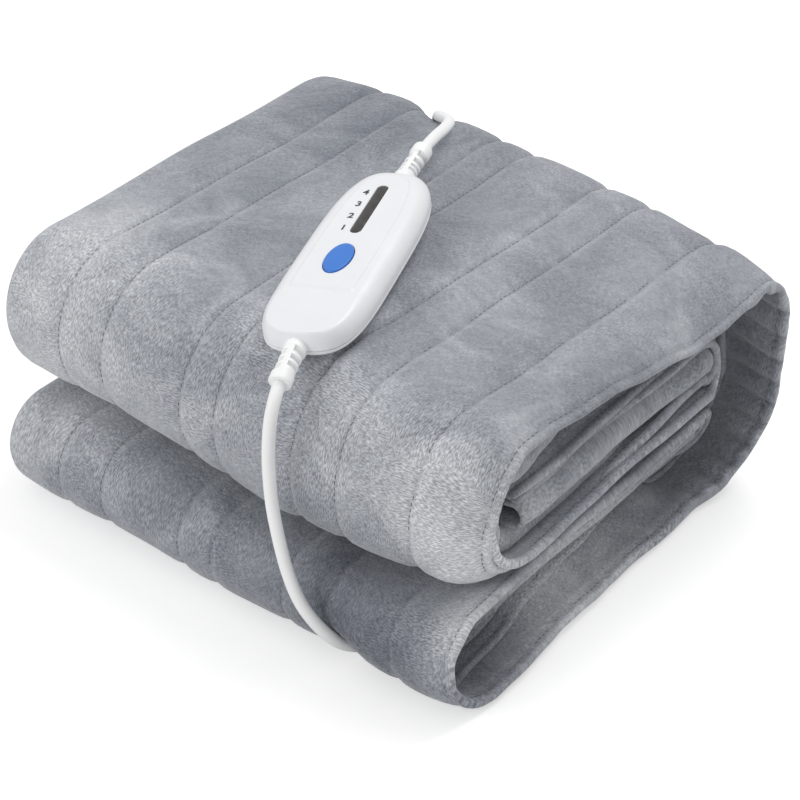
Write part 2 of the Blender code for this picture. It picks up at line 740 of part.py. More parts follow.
def build():
    parts, cutters = clear_scene()
    plush = finish("grey_plush", (0.33, 0.35, 0.38), 0.95)
    white = finish("white_plastic", (0.86, 0.87, 0.90), 0.30)
    soft_white = finish("white_cord", (0.88, 0.88, 0.88), 0.45)
    blue = finish("blue_button", (0.05, 0.20, 0.66), 0.35)
    smoke = finish("smoked_window", (0.07, 0.065, 0.06), 0.12)
    brass = finish("blade_metal", (0.72, 0.64, 0.42), 0.30, metallic=1.0)

    throw = make_throw(parts, plush)
    make_channel("mains_channel", MAINS_ROUTE, MAINS_IN_STACK, throw, cutters)
    make_channel("lead_channel", LEAD_ROUTE, LEAD_IN_STACK, throw, cutters)

    frame = bpy.data.objects.new("controller_frame", None)
    parts.objects.link(frame)
    frame.matrix_world = controller_frame()
    make_controller_base(parts, white, frame)
    top = make_controller_top(parts, white, frame)
    make_button(parts, cutters, blue, frame, top)
    make_window(parts, cutters, smoke, frame, top)

    housing_radii = (BOOT_ROOT_RADIUS, BOOT_TIP_RADIUS)
    make_boot("strain_relief_upper", UPPER_BOOT_ROUTE, LEAD_ROUTE[1], housing_radii, parts, soft_white)
    make_boot("strain_relief_lower", LOWER_BOOT_ROUTE, MAINS_ROUTE[1], housing_radii, parts, soft_white)
    make_cord("cord_lead", LEAD_ROUTE, UPPER_BOOT_ROUTE[-2], parts, soft_white)
    make_cord("cord_mains", MAINS_ROUTE, LOWER_BOOT_ROUTE[-2], parts, soft_white)
    make_coil("coil_lead", LEAD_COIL_X, LEAD_COIL_TURNS_WIDE, parts, soft_white)
    make_coil("coil_mains", MAINS_COIL_X, MAINS_COIL_TURNS_WIDE, parts, soft_white)
    make_boot("plug_strain_relief", PLUG_BOOT_ROUTE, None, PLUG_BOOT_RADII, parts, soft_white)
    make_boot("socket_strain_relief", SOCKET_BOOT_ROUTE, None, SOCKET_BOOT_RADII, parts, soft_white)
    make_plug(parts, soft_white, brass)
    make_block("blanket_socket", SOCKET_SIZE, SOCKET_PLACE, SOCKET_EDGE, parts, soft_white)


build()
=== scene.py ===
"""Looks of a heated plush throw, folded into a stack, with its hand controller and cords.

Metres, +Z up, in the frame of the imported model. The folds run along X, the rounded bundles face
-Y, the open hems face +X and the cords' unseen length lies coiled behind the stack.
"""

import math
from collections import namedtuple

import bmesh
import bpy
import numpy as np
from mathutils import Matrix, Vector, noise


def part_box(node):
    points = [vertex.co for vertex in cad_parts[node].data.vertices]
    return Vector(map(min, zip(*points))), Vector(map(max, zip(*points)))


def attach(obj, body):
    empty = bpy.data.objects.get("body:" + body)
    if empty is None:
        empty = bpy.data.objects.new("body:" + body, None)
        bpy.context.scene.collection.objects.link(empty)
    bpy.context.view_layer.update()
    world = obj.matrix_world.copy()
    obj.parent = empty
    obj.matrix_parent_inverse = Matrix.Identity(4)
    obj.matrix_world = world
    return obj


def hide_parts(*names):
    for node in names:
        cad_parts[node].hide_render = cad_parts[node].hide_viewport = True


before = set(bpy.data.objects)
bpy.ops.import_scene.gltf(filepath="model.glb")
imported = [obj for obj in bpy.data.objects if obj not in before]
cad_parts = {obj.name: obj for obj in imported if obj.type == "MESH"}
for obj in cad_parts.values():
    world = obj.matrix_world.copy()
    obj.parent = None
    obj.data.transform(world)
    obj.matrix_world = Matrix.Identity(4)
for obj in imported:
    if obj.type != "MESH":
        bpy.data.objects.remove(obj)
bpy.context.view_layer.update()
BODY = "root"
MM = 0.001

# ---------------------------------------------------------------- objects and lines


def new_object(name, data):
    """A new object in the scene."""
    thing = bpy.data.objects.new(name, data)
    bpy.context.scene.collection.objects.link(thing)
    return thing


def new_mesh(name, shape):
    """A mesh made from a bmesh, which is freed."""
    mesh = bpy.data.meshes.new(name)
    shape.to_mesh(mesh)
    shape.free()
    return mesh


def travelled(points):
    """How far along a line each of its points lies."""
    return np.concatenate([[0], np.cumsum(np.linalg.norm(np.diff(points, axis=0), axis=1))])


def at_place(place, run, values):
    """Values of three parts each, read off at a place, or at many, along a line."""
    return np.stack([np.interp(place, run, values[:, axis]) for axis in range(3)], axis=-1)


def eased(share):
    return share * share * (3 - 2 * share)


# ---------------------------------------------------------------- camera

CAMERA_AZIMUTH = math.radians(38.7)
CAMERA_ELEVATION = math.radians(34.3)
CAMERA_DISTANCE = 1.3007
CAMERA_TARGET = Vector((0.0, 0.0, 0.0549))
CAMERA_LENS = 109.7
CAMERA_SENSOR = 36.0
CAMERA_SHIFT_Y = -0.0052


def make_camera():
    """The camera at the photograph's angle, distance and framing."""
    camera = new_object("camera", bpy.data.cameras.new("camera"))
    camera.data.lens = CAMERA_LENS
    camera.data.sensor_width = CAMERA_SENSOR
    camera.data.shift_y = CAMERA_SHIFT_Y
    level = math.cos(CAMERA_ELEVATION)
    back = Vector((math.sin(CAMERA_AZIMUTH) * level, -math.cos(CAMERA_AZIMUTH) * level, 0))
    back.z = math.sin(CAMERA_ELEVATION)
    camera.location = CAMERA_TARGET + back * CAMERA_DISTANCE
    camera.rotation_euler = back.to_track_quat("Z", "Y").to_euler()
    bpy.context.scene.camera = camera


# ---------------------------------------------------------------- where the controller lies

CONTROLLER_LENGTH = 0.153
CONTROLLER_WIDTH = 0.054
CONTROLLER_TAPER = 0.03
CONTROLLER_PLACE = Vector((-0.0001, -0.0378, 0.1511))
CONTROLLER_YAW = math.radians(19.5)
CONTROLLER_TILT = math.radians(3.4)
CONTROLLER_ROLL = math.radians(-6.0)
CONTROLLER_FRAME = (
    Matrix.Translation(CONTROLLER_PLACE)
    @ Matrix.Rotation(CONTROLLER_YAW, 4, "Z")
    @ Matrix.Rotation(CONTROLLER_TILT, 4, "X")
    @ Matrix.Rotation(CONTROLLER_ROLL, 4, "Y")
)

# ---------------------------------------------------------------- routes of the cords

CORD_DIAMETER = 0.0065
CORD_RADIUS = CORD_DIAMETER / 2
COIL_Y = 0.172
MAINS_COIL_X = 0.052
LEAD_COIL_X = -0.072
LOW_TURN_Z = 0.0033
HIGH_TURN_Z = 0.0098

UPPER_BOOT_ROUTE = (
    (-0.02612, 0.03398, 0.16102),
    (-0.02752, 0.03793, 0.16126),
    (-0.03048, 0.04644, 0.16160),
    (-0.0333, 0.0614, 0.1662),
)
LOWER_BOOT_ROUTE = (
    (0.02508, -0.11054, 0.15171),
    (0.02649, -0.11448, 0.15136),
    (0.02929, -0.12186, 0.14920),
    (0.0337, -0.1327, 0.1466),
)
LEAD_ROUTE = (
    (-0.0333, 0.0614, 0.1662),
    (-0.0388, 0.0780, 0.1648),
    (-0.0449, 0.0946, 0.1612),
    (-0.0512, 0.1070, 0.1582),
    (-0.0595, 0.1143, 0.1545),
    (-0.0675, 0.1200, 0.1506),
    (-0.0742, 0.1270, 0.1460),
    (-0.0802, 0.1345, 0.1398),
    (-0.0862, 0.1412, 0.1315),
    (-0.0925, 0.1475, 0.1200),
    (-0.0990, 0.1515, 0.1065),
    (-0.1070, 0.1545, 0.0905),
    (-0.1162, 0.1568, 0.0730),
    (-0.1262, 0.1600, 0.0548),
    (-0.1360, 0.1645, 0.0370),
    (-0.1435, 0.1725, 0.0215),
    (-0.1462, 0.1825, 0.0105),
    (-0.1430, 0.1932, 0.0052),
    (-0.1340, 0.2025, 0.00355),
    (-0.1215, 0.2080, 0.00335),
    (-0.1075, 0.20925, 0.00335),
    (-0.0946, 0.20925, 0.00335),
)
MAINS_ROUTE = (
    (0.0337, -0.1327, 0.1466),
    (0.0361, -0.1392, 0.1420),
    (0.0371, -0.1436, 0.1335),
    (0.0369, -0.1453, 0.1210),
    (0.0376, -0.1466, 0.1062),
    (0.0404, -0.1483, 0.0885),
    (0.0457, -0.1503, 0.0718),
    (0.0520, -0.1518, 0.0555),
    (0.0591, -0.1519, 0.0412),
    (0.0660, -0.1497, 0.0305),
    (0.0712, -0.1450, 0.0212),
    (0.0746, -0.1380, 0.0130),
    (0.0775, -0.1285, 0.0070),
    (0.0802, -0.1165, 0.0042),
    (0.0835, -0.0990, 0.00335),
    (0.0872, -0.0720, 0.00335),
    (0.0902, -0.0380, 0.00335),
    (0.0920, 0.0100, 0.00335),
    (0.0925, 0.0600, 0.00335),
    (0.0925, 0.1080, 0.00335),
    (0.0925, 0.1484, 0.00335),
)
PLUG_BOOT_ROUTE = ((0.0280, 0.2125, 0.0098), (0.0175, 0.2125, 0.0095), (0.0067, 0.2125, 0.0095))
SOCKET_BOOT_ROUTE = ((-0.0948, 0.13475, 0.0080), (-0.1100, 0.13475, 0.0047), (-0.1221, 0.13475, 0.0044))

# A coil's turns: how far round each stage goes, and the turn radius and height where it ends.
Stage = namedtuple("Stage", "turns radius height")
MAINS_COIL = (
    Stage(0.00, 0.0405, LOW_TURN_Z),
    Stage(2.00, 0.0275, LOW_TURN_Z),
    Stage(0.50, 0.0275, HIGH_TURN_Z),
    Stage(2.00, 0.0405, HIGH_TURN_Z),
    Stage(0.75, 0.0405, HIGH_TURN_Z),
)
LEAD_COIL = (
    Stage(0.00, 0.03725, LOW_TURN_Z),
    Stage(1.00, 0.03075, LOW_TURN_Z),
    Stage(0.50, 0.03075, HIGH_TURN_Z),
    Stage(1.00, 0.03725, HIGH_TURN_Z),
    Stage(1.00, 0.03725, HIGH_TURN_Z),
)
TURN_POINTS = 40
STEPS_BETWEEN_KNOTS = 16


def coil_points(centre_x, stages, start_turn, direction):
    """The turns of a coil that winds inwards, climbs a layer and winds out again."""
    points = []
    turn = start_turn
    for before, stage in zip(stages, stages[1:]):
        steps = max(int(stage.turns * TURN_POINTS), 2)
        for step in range(1, steps + 1):
            share = step / steps
            angle = 2 * math.pi * (turn + direction * stage.turns * share)
            radius = before.radius + (stage.radius - before.radius) * share
            height = before.height + (stage.height - before.height) * eased(share)
            x, y = centre_x + radius * math.cos(angle), COIL_Y + radius * math.sin(angle)
            points.append((x, y, height))
        turn += direction * stage.turns
    return points


def smooth_route(route, spacing, before=None, after=None):
    """Points at about equal steps along a smooth curve through the route's points.

    Where the curve goes on past an end, before or after is its next point there.
    """
    knots = np.array(route, dtype=float)
    first = 2 * knots[0] - knots[1] if before is None else before
    last = 2 * knots[-1] - knots[-2] if after is None else after
    padded = np.vstack([first, knots, last])
    fine = []
    for i in range(1, len(padded) - 2):
        earlier, start, end, later = padded[i - 1 : i + 3]
        bend = 2 * earlier - 5 * start + 4 * end - later
        twist = -earlier + 3 * start - 3 * end + later
        for t in np.linspace(0, 1, STEPS_BETWEEN_KNOTS, endpoint=False):
            fine.append(0.5 * (2 * start + (end - earlier) * t + bend * t**2 + twist * t**3))
    fine = np.array(fine + [knots[-1]])
    run = travelled(fine)
    steps = max(int(round(run[-1] / spacing)), 2)
    return at_place(np.linspace(0, run[-1], steps + 1), run, fine)


# ---------------------------------------------------------------- materials

# The pile's colour from dark to light, over brushed pile with painted light and shade, and how much the
# patches shift it.
PLUSH_COLOURS = (
    (0.0, (0.118, 0.130, 0.156)),
    (0.5, (0.325, 0.342, 0.376)),
    (1.0, (0.640, 0.652, 0.680)),
)
PATCH_CONTRAST = 0.26
NAP_SCALE = 1750.0
NAP_STRETCH = 0.24  # the nap's scale along a stroke, as a share of its scale across
NAP_TURN = math.radians(9)
PILE_ROUGHNESS = 0.95
# Tones of the strokes of nap, of the tufts, and from a stitch outwards: painted shade in its trough, then a
# lighter band of raised pile and painted highlight.
NAP_TONES = ((0.39, 0.68), (0.50, 1.0), (0.60, 1.40))
TUFT_TONES = ((0.0, 0.91), (1.0, 1.05))
SEAM_SHADE_AND_HIGHLIGHT_TONES = ((0.0, 0.90), (0.045, 0.96), (0.10, 1.08), (0.20, 1.0))
FAR_FROM_SEAM = 0.03  # the distance that stands for no stitches near
VECTOR_SOCKETS = ("Place", "Normal")


def new_material(name):
    material = bpy.data.materials.new(name)
    material.use_nodes = True
    return material, material.node_tree, material.node_tree.nodes["Principled BSDF"]


def add(tree, kind, **settings):
    """A node with its properties and its unlinked inputs set by name."""
    node = tree.nodes.new(kind)
    for key, value in settings.items():
        if hasattr(node, key):
            setattr(node, key, value)
        else:
            node.inputs[key.replace("_", " ")].default_value = value
    return node


def ramp(tree, source, stops):
    """A colour ramp over a value, with (position, grey or colour) stops."""
    node = tree.nodes.new("ShaderNodeValToRGB")
    elements = node.color_ramp.elements
    while len(elements) < len(stops):
        elements.new(0.5)
    for element, (position, colour) in zip(elements, stops):
        element.position = position
        grey = isinstance(colour, (int, float))
        element.color = (colour, colour, colour, 1) if grey else (*colour, 1)
    tree.links.new(source, node.inputs["Fac"])
    return node.outputs["Color"]


def multiply(tree, first, second):
    node = tree.nodes.new("ShaderNodeMix")
    node.data_type = "RGBA"
    node.blend_type = "MULTIPLY"
    node.inputs["Factor"].default_value = 1.0
    tree.links.new(first, node.inputs["A"])
    tree.links.new(second, node.inputs["B"])
    return node.outputs["Result"]


def new_group(name, inputs, outputs):
    """A node group with named sockets, and its input and output nodes."""
    tree = bpy.data.node_groups.new(name, "ShaderNodeTree")
    for direction, titles in (("INPUT", inputs), ("OUTPUT", outputs)):
        for title in titles:
            kind = "NodeSocketVector" if title in VECTOR_SOCKETS else "NodeSocketFloat"
            tree.interface.new_socket(name=title, in_out=direction, socket_type=kind)
    return tree, tree.nodes.new("NodeGroupInput"), tree.nodes.new("NodeGroupOutput")


def feed(tree, given, node, **sources):
    """Links a node's inputs to the group's own, each by its name."""
    for socket, source in sources.items():
        tree.links.new(given.outputs[source], node.inputs[socket.replace("_", " ")])


def mottle_group():
    """Soft uneven patches, as a share from 0 to 1."""
    tree, given, result = new_group("mottle", ("Place", "Scale", "Warp", "Low", "High"), ("Share",))
    cloud = add(tree, "ShaderNodeTexNoise", Detail=4.0, Roughness=0.62)
    spread = add(tree, "ShaderNodeMapRange")
    feed(tree, given, cloud, Vector="Place", Scale="Scale", Distortion="Warp")
    feed(tree, given, spread, From_Min="Low", From_Max="High")
    tree.links.new(cloud.outputs["Fac"], spread.inputs["Value"])
    tree.links.new(spread.outputs["Result"], result.inputs["Share"])
    return tree


def grain_group():
    """A fine even grain, as a bumped normal."""
    tree, given, result = new_group("grain", ("Place", "Scale", "Strength", "Depth"), ("Normal",))
    speckle = add(tree, "ShaderNodeTexNoise", Detail=2.0)
    bump = add(tree, "ShaderNodeBump")
    feed(tree, given, speckle, Vector="Place", Scale="Scale")
    feed(tree, given, bump, Strength="Strength", Distance="Depth")
    tree.links.new(speckle.outputs["Fac"], bump.inputs["Height"])
    tree.links.new(bump.outputs["Normal"], result.inputs["Normal"])
    return tree


def place_group(tree, group, place, **values):
    """A shared group in a material, on a place vector and with the material's own values."""
    node = tree.nodes.new("ShaderNodeGroup")
    node.node_tree = group
    tree.links.new(place, node.inputs["Place"])
    for name, value in values.items():
        node.inputs[name].default_value = value
    return node


MOTTLE = mottle_group()
GRAIN = grain_group()


def mottled(tree, place, scale, low, high, warp=0.0):
    """The mottle group's share, with a material's own values."""
    return place_group(tree, MOTTLE, place, Scale=scale, Warp=warp, Low=low, High=high).outputs["Share"]


def grained(tree, place, scale, strength, depth):
    """The grain group's normal, with a material's own values."""
    return place_group(tree, GRAIN, place, Scale=scale, Strength=strength, Depth=depth).outputs["Normal"]


def on_piece(tree):
    """Places on a hard piece, in its own frame."""
    return add(tree, "ShaderNodeTexCoord").outputs["Object"]


def mixed_colour(tree, share, low, high):
    """A colour or a value between two, by a share."""
    return ramp(tree, share, ((0.0, low), (1.0, high)))


def stroke_noise(tree, place, stretch):
    """Short strokes of nap, drawn out along one of the cloth's two directions."""
    nap = add(tree, "ShaderNodeMapping", Rotation=(0, 0, NAP_TURN), Scale=stretch)
    tree.links.new(place, nap.inputs["Vector"])
    strokes = add(tree, "ShaderNodeTexNoise", Scale=NAP_SCALE, Detail=2.0, Roughness=0.5)
    tree.links.new(nap.outputs["Vector"], strokes.inputs["Vector"])
    return strokes.outputs["Fac"]


def nap_strokes(tree, place):
    """Strokes of nap that lie along the cloth in some patches and across it in others."""
    strokes = add(tree, "ShaderNodeMix")
    tree.links.new(mottled(tree, place, 17.0, 0.44, 0.58, warp=0.6), strokes.inputs["Factor"])
    tree.links.new(stroke_noise(tree, place, (1.0, NAP_STRETCH, 1.0)), strokes.inputs["A"])
    tree.links.new(stroke_noise(tree, place, (NAP_STRETCH, 1.0, 1.0)), strokes.inputs["B"])
    return strokes.outputs["Result"]


def pile_colour_with_painted_light(tree, place, brushed_and_painted_light):
    """The pile's colour, from how it is brushed, from painted light and shade, and from uneven patches."""
    lay = add(tree, "ShaderNodeMath", operation="MULTIPLY_ADD")
    tree.links.new(mottled(tree, place, 23.0, 0.36, 0.66, warp=0.9), lay.inputs[0])
    lay.inputs[1].default_value = PATCH_CONTRAST
    tree.links.new(brushed_and_painted_light, lay.inputs[2])
    return ramp(tree, lay.outputs["Value"], PLUSH_COLOURS)


def ruffled_tone(tree, strokes, ruffle):
    """Light tips and dark crevices of the nap, where it stands ruffled."""
    tone = add(tree, "ShaderNodeMix", data_type="RGBA")
    tree.links.new(ruffle, tone.inputs["Factor"])
    tone.inputs["A"].default_value = (1, 1, 1, 1)
    tree.links.new(ramp(tree, strokes, NAP_TONES), tone.inputs["B"])
    return tone.outputs["Result"]


def seam_shade_and_highlight(tree, seam):
    """Painted shade in the trough at the stitches, and a lighter band beside them where the pile stands up,
    with a painted highlight.
    """
    reach = add(tree, "ShaderNodeMath", operation="MULTIPLY")
    tree.links.new(seam, reach.inputs[0])
    reach.inputs[1].default_value = 1 / FAR_FROM_SEAM
    return ramp(tree, reach.outputs["Value"], SEAM_SHADE_AND_HIGHLIGHT_TONES)


def plush_material():
    """Short grey pile: brushed patches with painted light and shade, strokes of nap both ways, and painted
    shade at the stitches with a lighter band beside them.
    """
    material, tree, shader = new_material("plush")
    place = add(tree, "ShaderNodeAttribute", attribute_name="cloth_place").outputs["Vector"]
    # The brushed attribute carries brushed pile and painted light and shade.
    brushed_and_painted_light, ruffle, seam = (
        add(tree, "ShaderNodeAttribute", attribute_name=name).outputs["Fac"]
        for name in ("brushed_and_painted_light", "ruffle", "seam")
    )
    strokes = nap_strokes(tree, place)
    tufts = mottled(tree, place, 240.0, 0.34, 0.62)
    toned = multiply(tree, pile_colour_with_painted_light(tree, place, brushed_and_painted_light), ruffled_tone(tree, strokes, ruffle))
    toned = multiply(tree, toned, ramp(tree, tufts, TUFT_TONES))
    # Painted shade along the stitches and a painted highlight beside them.
    tree.links.new(multiply(tree, toned, seam_shade_and_highlight(tree, seam)), shader.inputs["Base Color"])

    small = add(tree, "ShaderNodeBump", Strength=0.7, Distance=0.0006)
    tree.links.new(strokes, small.inputs["Height"])
    wide = add(tree, "ShaderNodeBump", Strength=0.35, Distance=0.0012)
    tree.links.new(tufts, wide.inputs["Height"])
    tree.links.new(small.outputs["Normal"], wide.inputs["Normal"])
    tree.links.new(wide.outputs["Normal"], shader.inputs["Normal"])
    shader.inputs["Roughness"].default_value = PILE_ROUGHNESS
    shader.inputs["Specular IOR Level"].default_value = 0.12
    shader.inputs["Sheen Weight"].default_value = 0.60
    shader.inputs["Sheen Roughness"].default_value = 0.38
    shader.inputs["Sheen Tint"].default_value = (0.95, 0.97, 1.0, 1.0)
    return material


MOULDED_TINT = 0.975  # the darker patches' share of the colour
MOULDED_GLOSS = (-0.04, 0.05)  # how far the roughness strays


def moulded_material(name, colour, roughness, grain=2500.0):
    """Moulded plastic with a fine even grain and slight variation in gloss."""
    material, tree, shader = new_material(name)
    place = on_piece(tree)
    share = mottled(tree, place, 45.0, 0.32, 0.68)
    gloss = mixed_colour(tree, share, *(roughness + stray for stray in MOULDED_GLOSS))
    tree.links.new(gloss, shader.inputs["Roughness"])
    tint = mixed_colour(tree, share, tuple(MOULDED_TINT * c for c in colour), colour)
    tree.links.new(tint, shader.inputs["Base Color"])
    tree.links.new(grained(tree, place, grain, 0.12, 0.00005), shader.inputs["Normal"])
    return material


def button_material():
    """Vivid blue moulded plastic."""
    return moulded_material("button_blue", (0.048, 0.205, 0.67), 0.30, grain=1800.0)


def window_material():
    """Smoked lens: dark and glossy, a little cloudy, with fine scratches."""
    material, tree, shader = new_material("window_smoke")
    place = on_piece(tree)
    cloud = mottled(tree, place, 260.0, 0.35, 0.7)
    dark = mixed_colour(tree, cloud, (0.022, 0.020, 0.018), (0.050, 0.045, 0.040))
    tree.links.new(dark, shader.inputs["Base Color"])
    scratches = mottled(tree, place, 1400.0, 0.4, 0.7)
    tree.links.new(mixed_colour(tree, scratches, 0.08, 0.22), shader.inputs["Roughness"])
    shader.inputs["Coat Weight"].default_value = 0.4
    shader.inputs["Coat Roughness"].default_value = 0.04
    return material


def print_material():
    """Dark grey pad-printed ink, a little uneven."""
    material, tree, shader = new_material("print_grey")
    cloud = mottled(tree, on_piece(tree), 3000.0, 0.3, 0.7)
    ink = mixed_colour(tree, cloud, (0.035, 0.037, 0.045), (0.075, 0.078, 0.088))
    tree.links.new(ink, shader.inputs["Base Color"])
    shader.inputs["Roughness"].default_value = 0.6
    return material


def blade_material():
    """Brass blades with a drawn grain."""
    material, tree, shader = new_material("blade_brass")
    stretched = add(tree, "ShaderNodeMapping", Scale=(0.06, 1.0, 1.0))
    tree.links.new(on_piece(tree), stretched.inputs["Vector"])
    drawn = mottled(tree, stretched.outputs["Vector"], 4200.0, 0.3, 0.7)
    brass = mixed_colour(tree, drawn, (0.56, 0.45, 0.24), (0.74, 0.63, 0.38))
    tree.links.new(brass, shader.inputs["Base Color"])
    tree.links.new(mixed_colour(tree, drawn, 0.24, 0.40), shader.inputs["Roughness"])
    shader.inputs["Metallic"].default_value = 1.0
    return material


def thread_material_with_painted_shade():
    """Grey sewing thread with its twist, coloured darker than the cloth as painted shade of the needle holes
    and the pulled thread.
    """
    material, tree, shader = new_material("thread_grey_painted_shade")
    place = on_piece(tree)
    twist = mottled(tree, place, 2600.0, 0.35, 0.65)
    # Darker than the cloth: the thread's own grey with painted shade of the needle holes.
    colour = mixed_colour(tree, twist, (0.115, 0.122, 0.138), (0.23, 0.24, 0.26))
    tree.links.new(colour, shader.inputs["Base Color"])
    tree.links.new(grained(tree, place, 2600.0, 0.5, 0.0001), shader.inputs["Normal"])
    shader.inputs["Roughness"].default_value = 0.8
    return material


# ---------------------------------------------------------------- the folded section

LAYERS = 3  # in each bundle
LAYER_GAP = 0.0025
TOP_CORNER_RADIUS = 0.032
BOTTOM_CORNER_RADIUS = 0.055
UPPER_TURN_Y = 0.070
LOWER_TURN_Y = 0.088
FREE_END_TUCK = 0.004

Station = namedtuple("Station", "x top_front top_back gap front_up front_low back")
STATIONS = (
    Station(-0.158, 0.1455, 0.148, 0.058, -0.130, -0.1438, 0.1462),
    Station(-0.120, 0.1485, 0.151, 0.057, -0.133, -0.1448, 0.1462),
    Station(-0.060, 0.1457, 0.1507, 0.053, -0.134, -0.1448, 0.145),
    Station(0.000, 0.1447, 0.1507, 0.046, -0.135, -0.1448, 0.143),
    Station(0.060, 0.1447, 0.1487, 0.050, -0.134, -0.1454, 0.138),
    Station(0.120, 0.142, 0.144, 0.054, -0.132, -0.1468, 0.134),
    Station(0.158, 0.137, 0.139, 0.064, -0.126, -0.1468, 0.130),
)

# Each stretch of the section: its rows, and at its start how far out the outer ply's hem, the
# second ply's hem and the roll between plies three and four reach, and the fold at the left (mm).
Stretch = namedtuple("Stretch", "name rows outer_hem inner_hem roll left")
STRETCHES = (
    Stretch("upper_flap", 20, 141, 141, 148, -157.0),
    Stretch("upper_turn", 12, 141, 139, 146, -157.5),
    Stretch("upper_return", 20, 147, 149, 134, -162.0),
    Stretch("upper_front", 36, 144, 152, 140, -168.0),
    Stretch("top", 52, 149, 143, 140, -168.0),
    Stretch("top_corner", 20, 155, 124, 120, -166.0),
    Stretch("back_wall", 18, 159, 122, 118, -161.0),
    Stretch("bottom_corner", 26, 157, 122, 118, -157.0),
    Stretch("bottom", 40, 143, 112, 108, -155.5),
    Stretch("lower_front", 26, 151, 132, 122, -157.5),
    Stretch("lower_return", 20, 144, 140, 136, -158.5),
    Stretch("lower_turn", 8, 138, 136, 132, -157.0),
    Stretch("lower_flap", 20, 119, 120, 116, -156.5),
)
LAST_ROW = Stretch("end", 0, 124, 122, 118, -156.5)

# How the plies lie at the open mouth, at each stretch's start: shares of the layer's thickness
# from its middle towards its outer face, and how much plumper than elsewhere the cloth is.
Mouth = namedtuple("Mouth", "outer second third fourth plump")
CLOSED = Mouth(0.375, 0.125, -0.125, -0.375, 1.0)
MOUTHS = {
    "upper_flap": Mouth(0.36, 0.24, 0.06, -0.42, 1.0),
    "upper_turn": Mouth(0.40, 0.28, 0.10, -0.42, 1.0),
    "upper_return": Mouth(-0.58, -0.20, -0.34, -0.42, 1.15),
    "upper_front": Mouth(0.32, 0.02, -0.24, -0.55, 1.15),
    "top": Mouth(0.40, -0.02, -0.25, -0.60, 1.15),
    "top_corner": CLOSED,
    "back_wall": CLOSED,
    "bottom_corner": CLOSED,
    "bottom": Mouth(0.20, 0.05, -0.20, -0.42, 1.8),
    "lower_front": Mouth(0.25, 0.0, -0.20, -0.42, 1.6),
    "lower_return": Mouth(0.40, 0.12, -0.10, -0.50, 1.35),
    "lower_turn": Mouth(0.40, 0.12, -0.10, -0.50, 1.35),
    "lower_flap": CLOSED,
    "end": CLOSED,
}


def stations_at(x):
    """The stack's outline sizes at an array of X."""
    rows = np.array(STATIONS)
    x = np.clip(x, rows[0, 0], rows[-1, 0])
    index = np.clip(np.searchsorted(rows[:, 0], x, side="right") - 1, 0, len(rows) - 2)
    share = eased((x - rows[index, 0]) / (rows[index + 1, 0] - rows[index, 0]))
    values = rows[index] + (rows[index + 1] - rows[index]) * share[..., None]
    return Station(*np.moveaxis(values, -1, 0))


def lower_thickness(station):
    return (station.gap - (LAYERS - 0.5) * LAYER_GAP) / LAYERS


def upper_thickness(station, y):
    front, back = station.front_up, station.back - TOP_CORNER_RADIUS
    share = np.clip((y - front) / (back - front), 0, 1)
    top = station.top_front + (station.top_back - station.top_front) * share
    return (top - station.gap - (LAYERS - 0.5) * LAYER_GAP) / LAYERS


def upper_height(station, y, place):
    thick = upper_thickness(station, y)
    return station.gap + LAYER_GAP / 2 + thick / 2 + place * (thick + LAYER_GAP)


def lower_height(station, place):
    thick = lower_thickness(station)
    return thick / 2 + place * (thick + LAYER_GAP)


def around(centre_y, centre_z, radius, from_deg, to_deg, share):
    angle = math.radians(from_deg + (to_deg - from_deg) * share)
    return centre_y + radius * math.cos(angle), centre_z + radius * math.sin(angle)


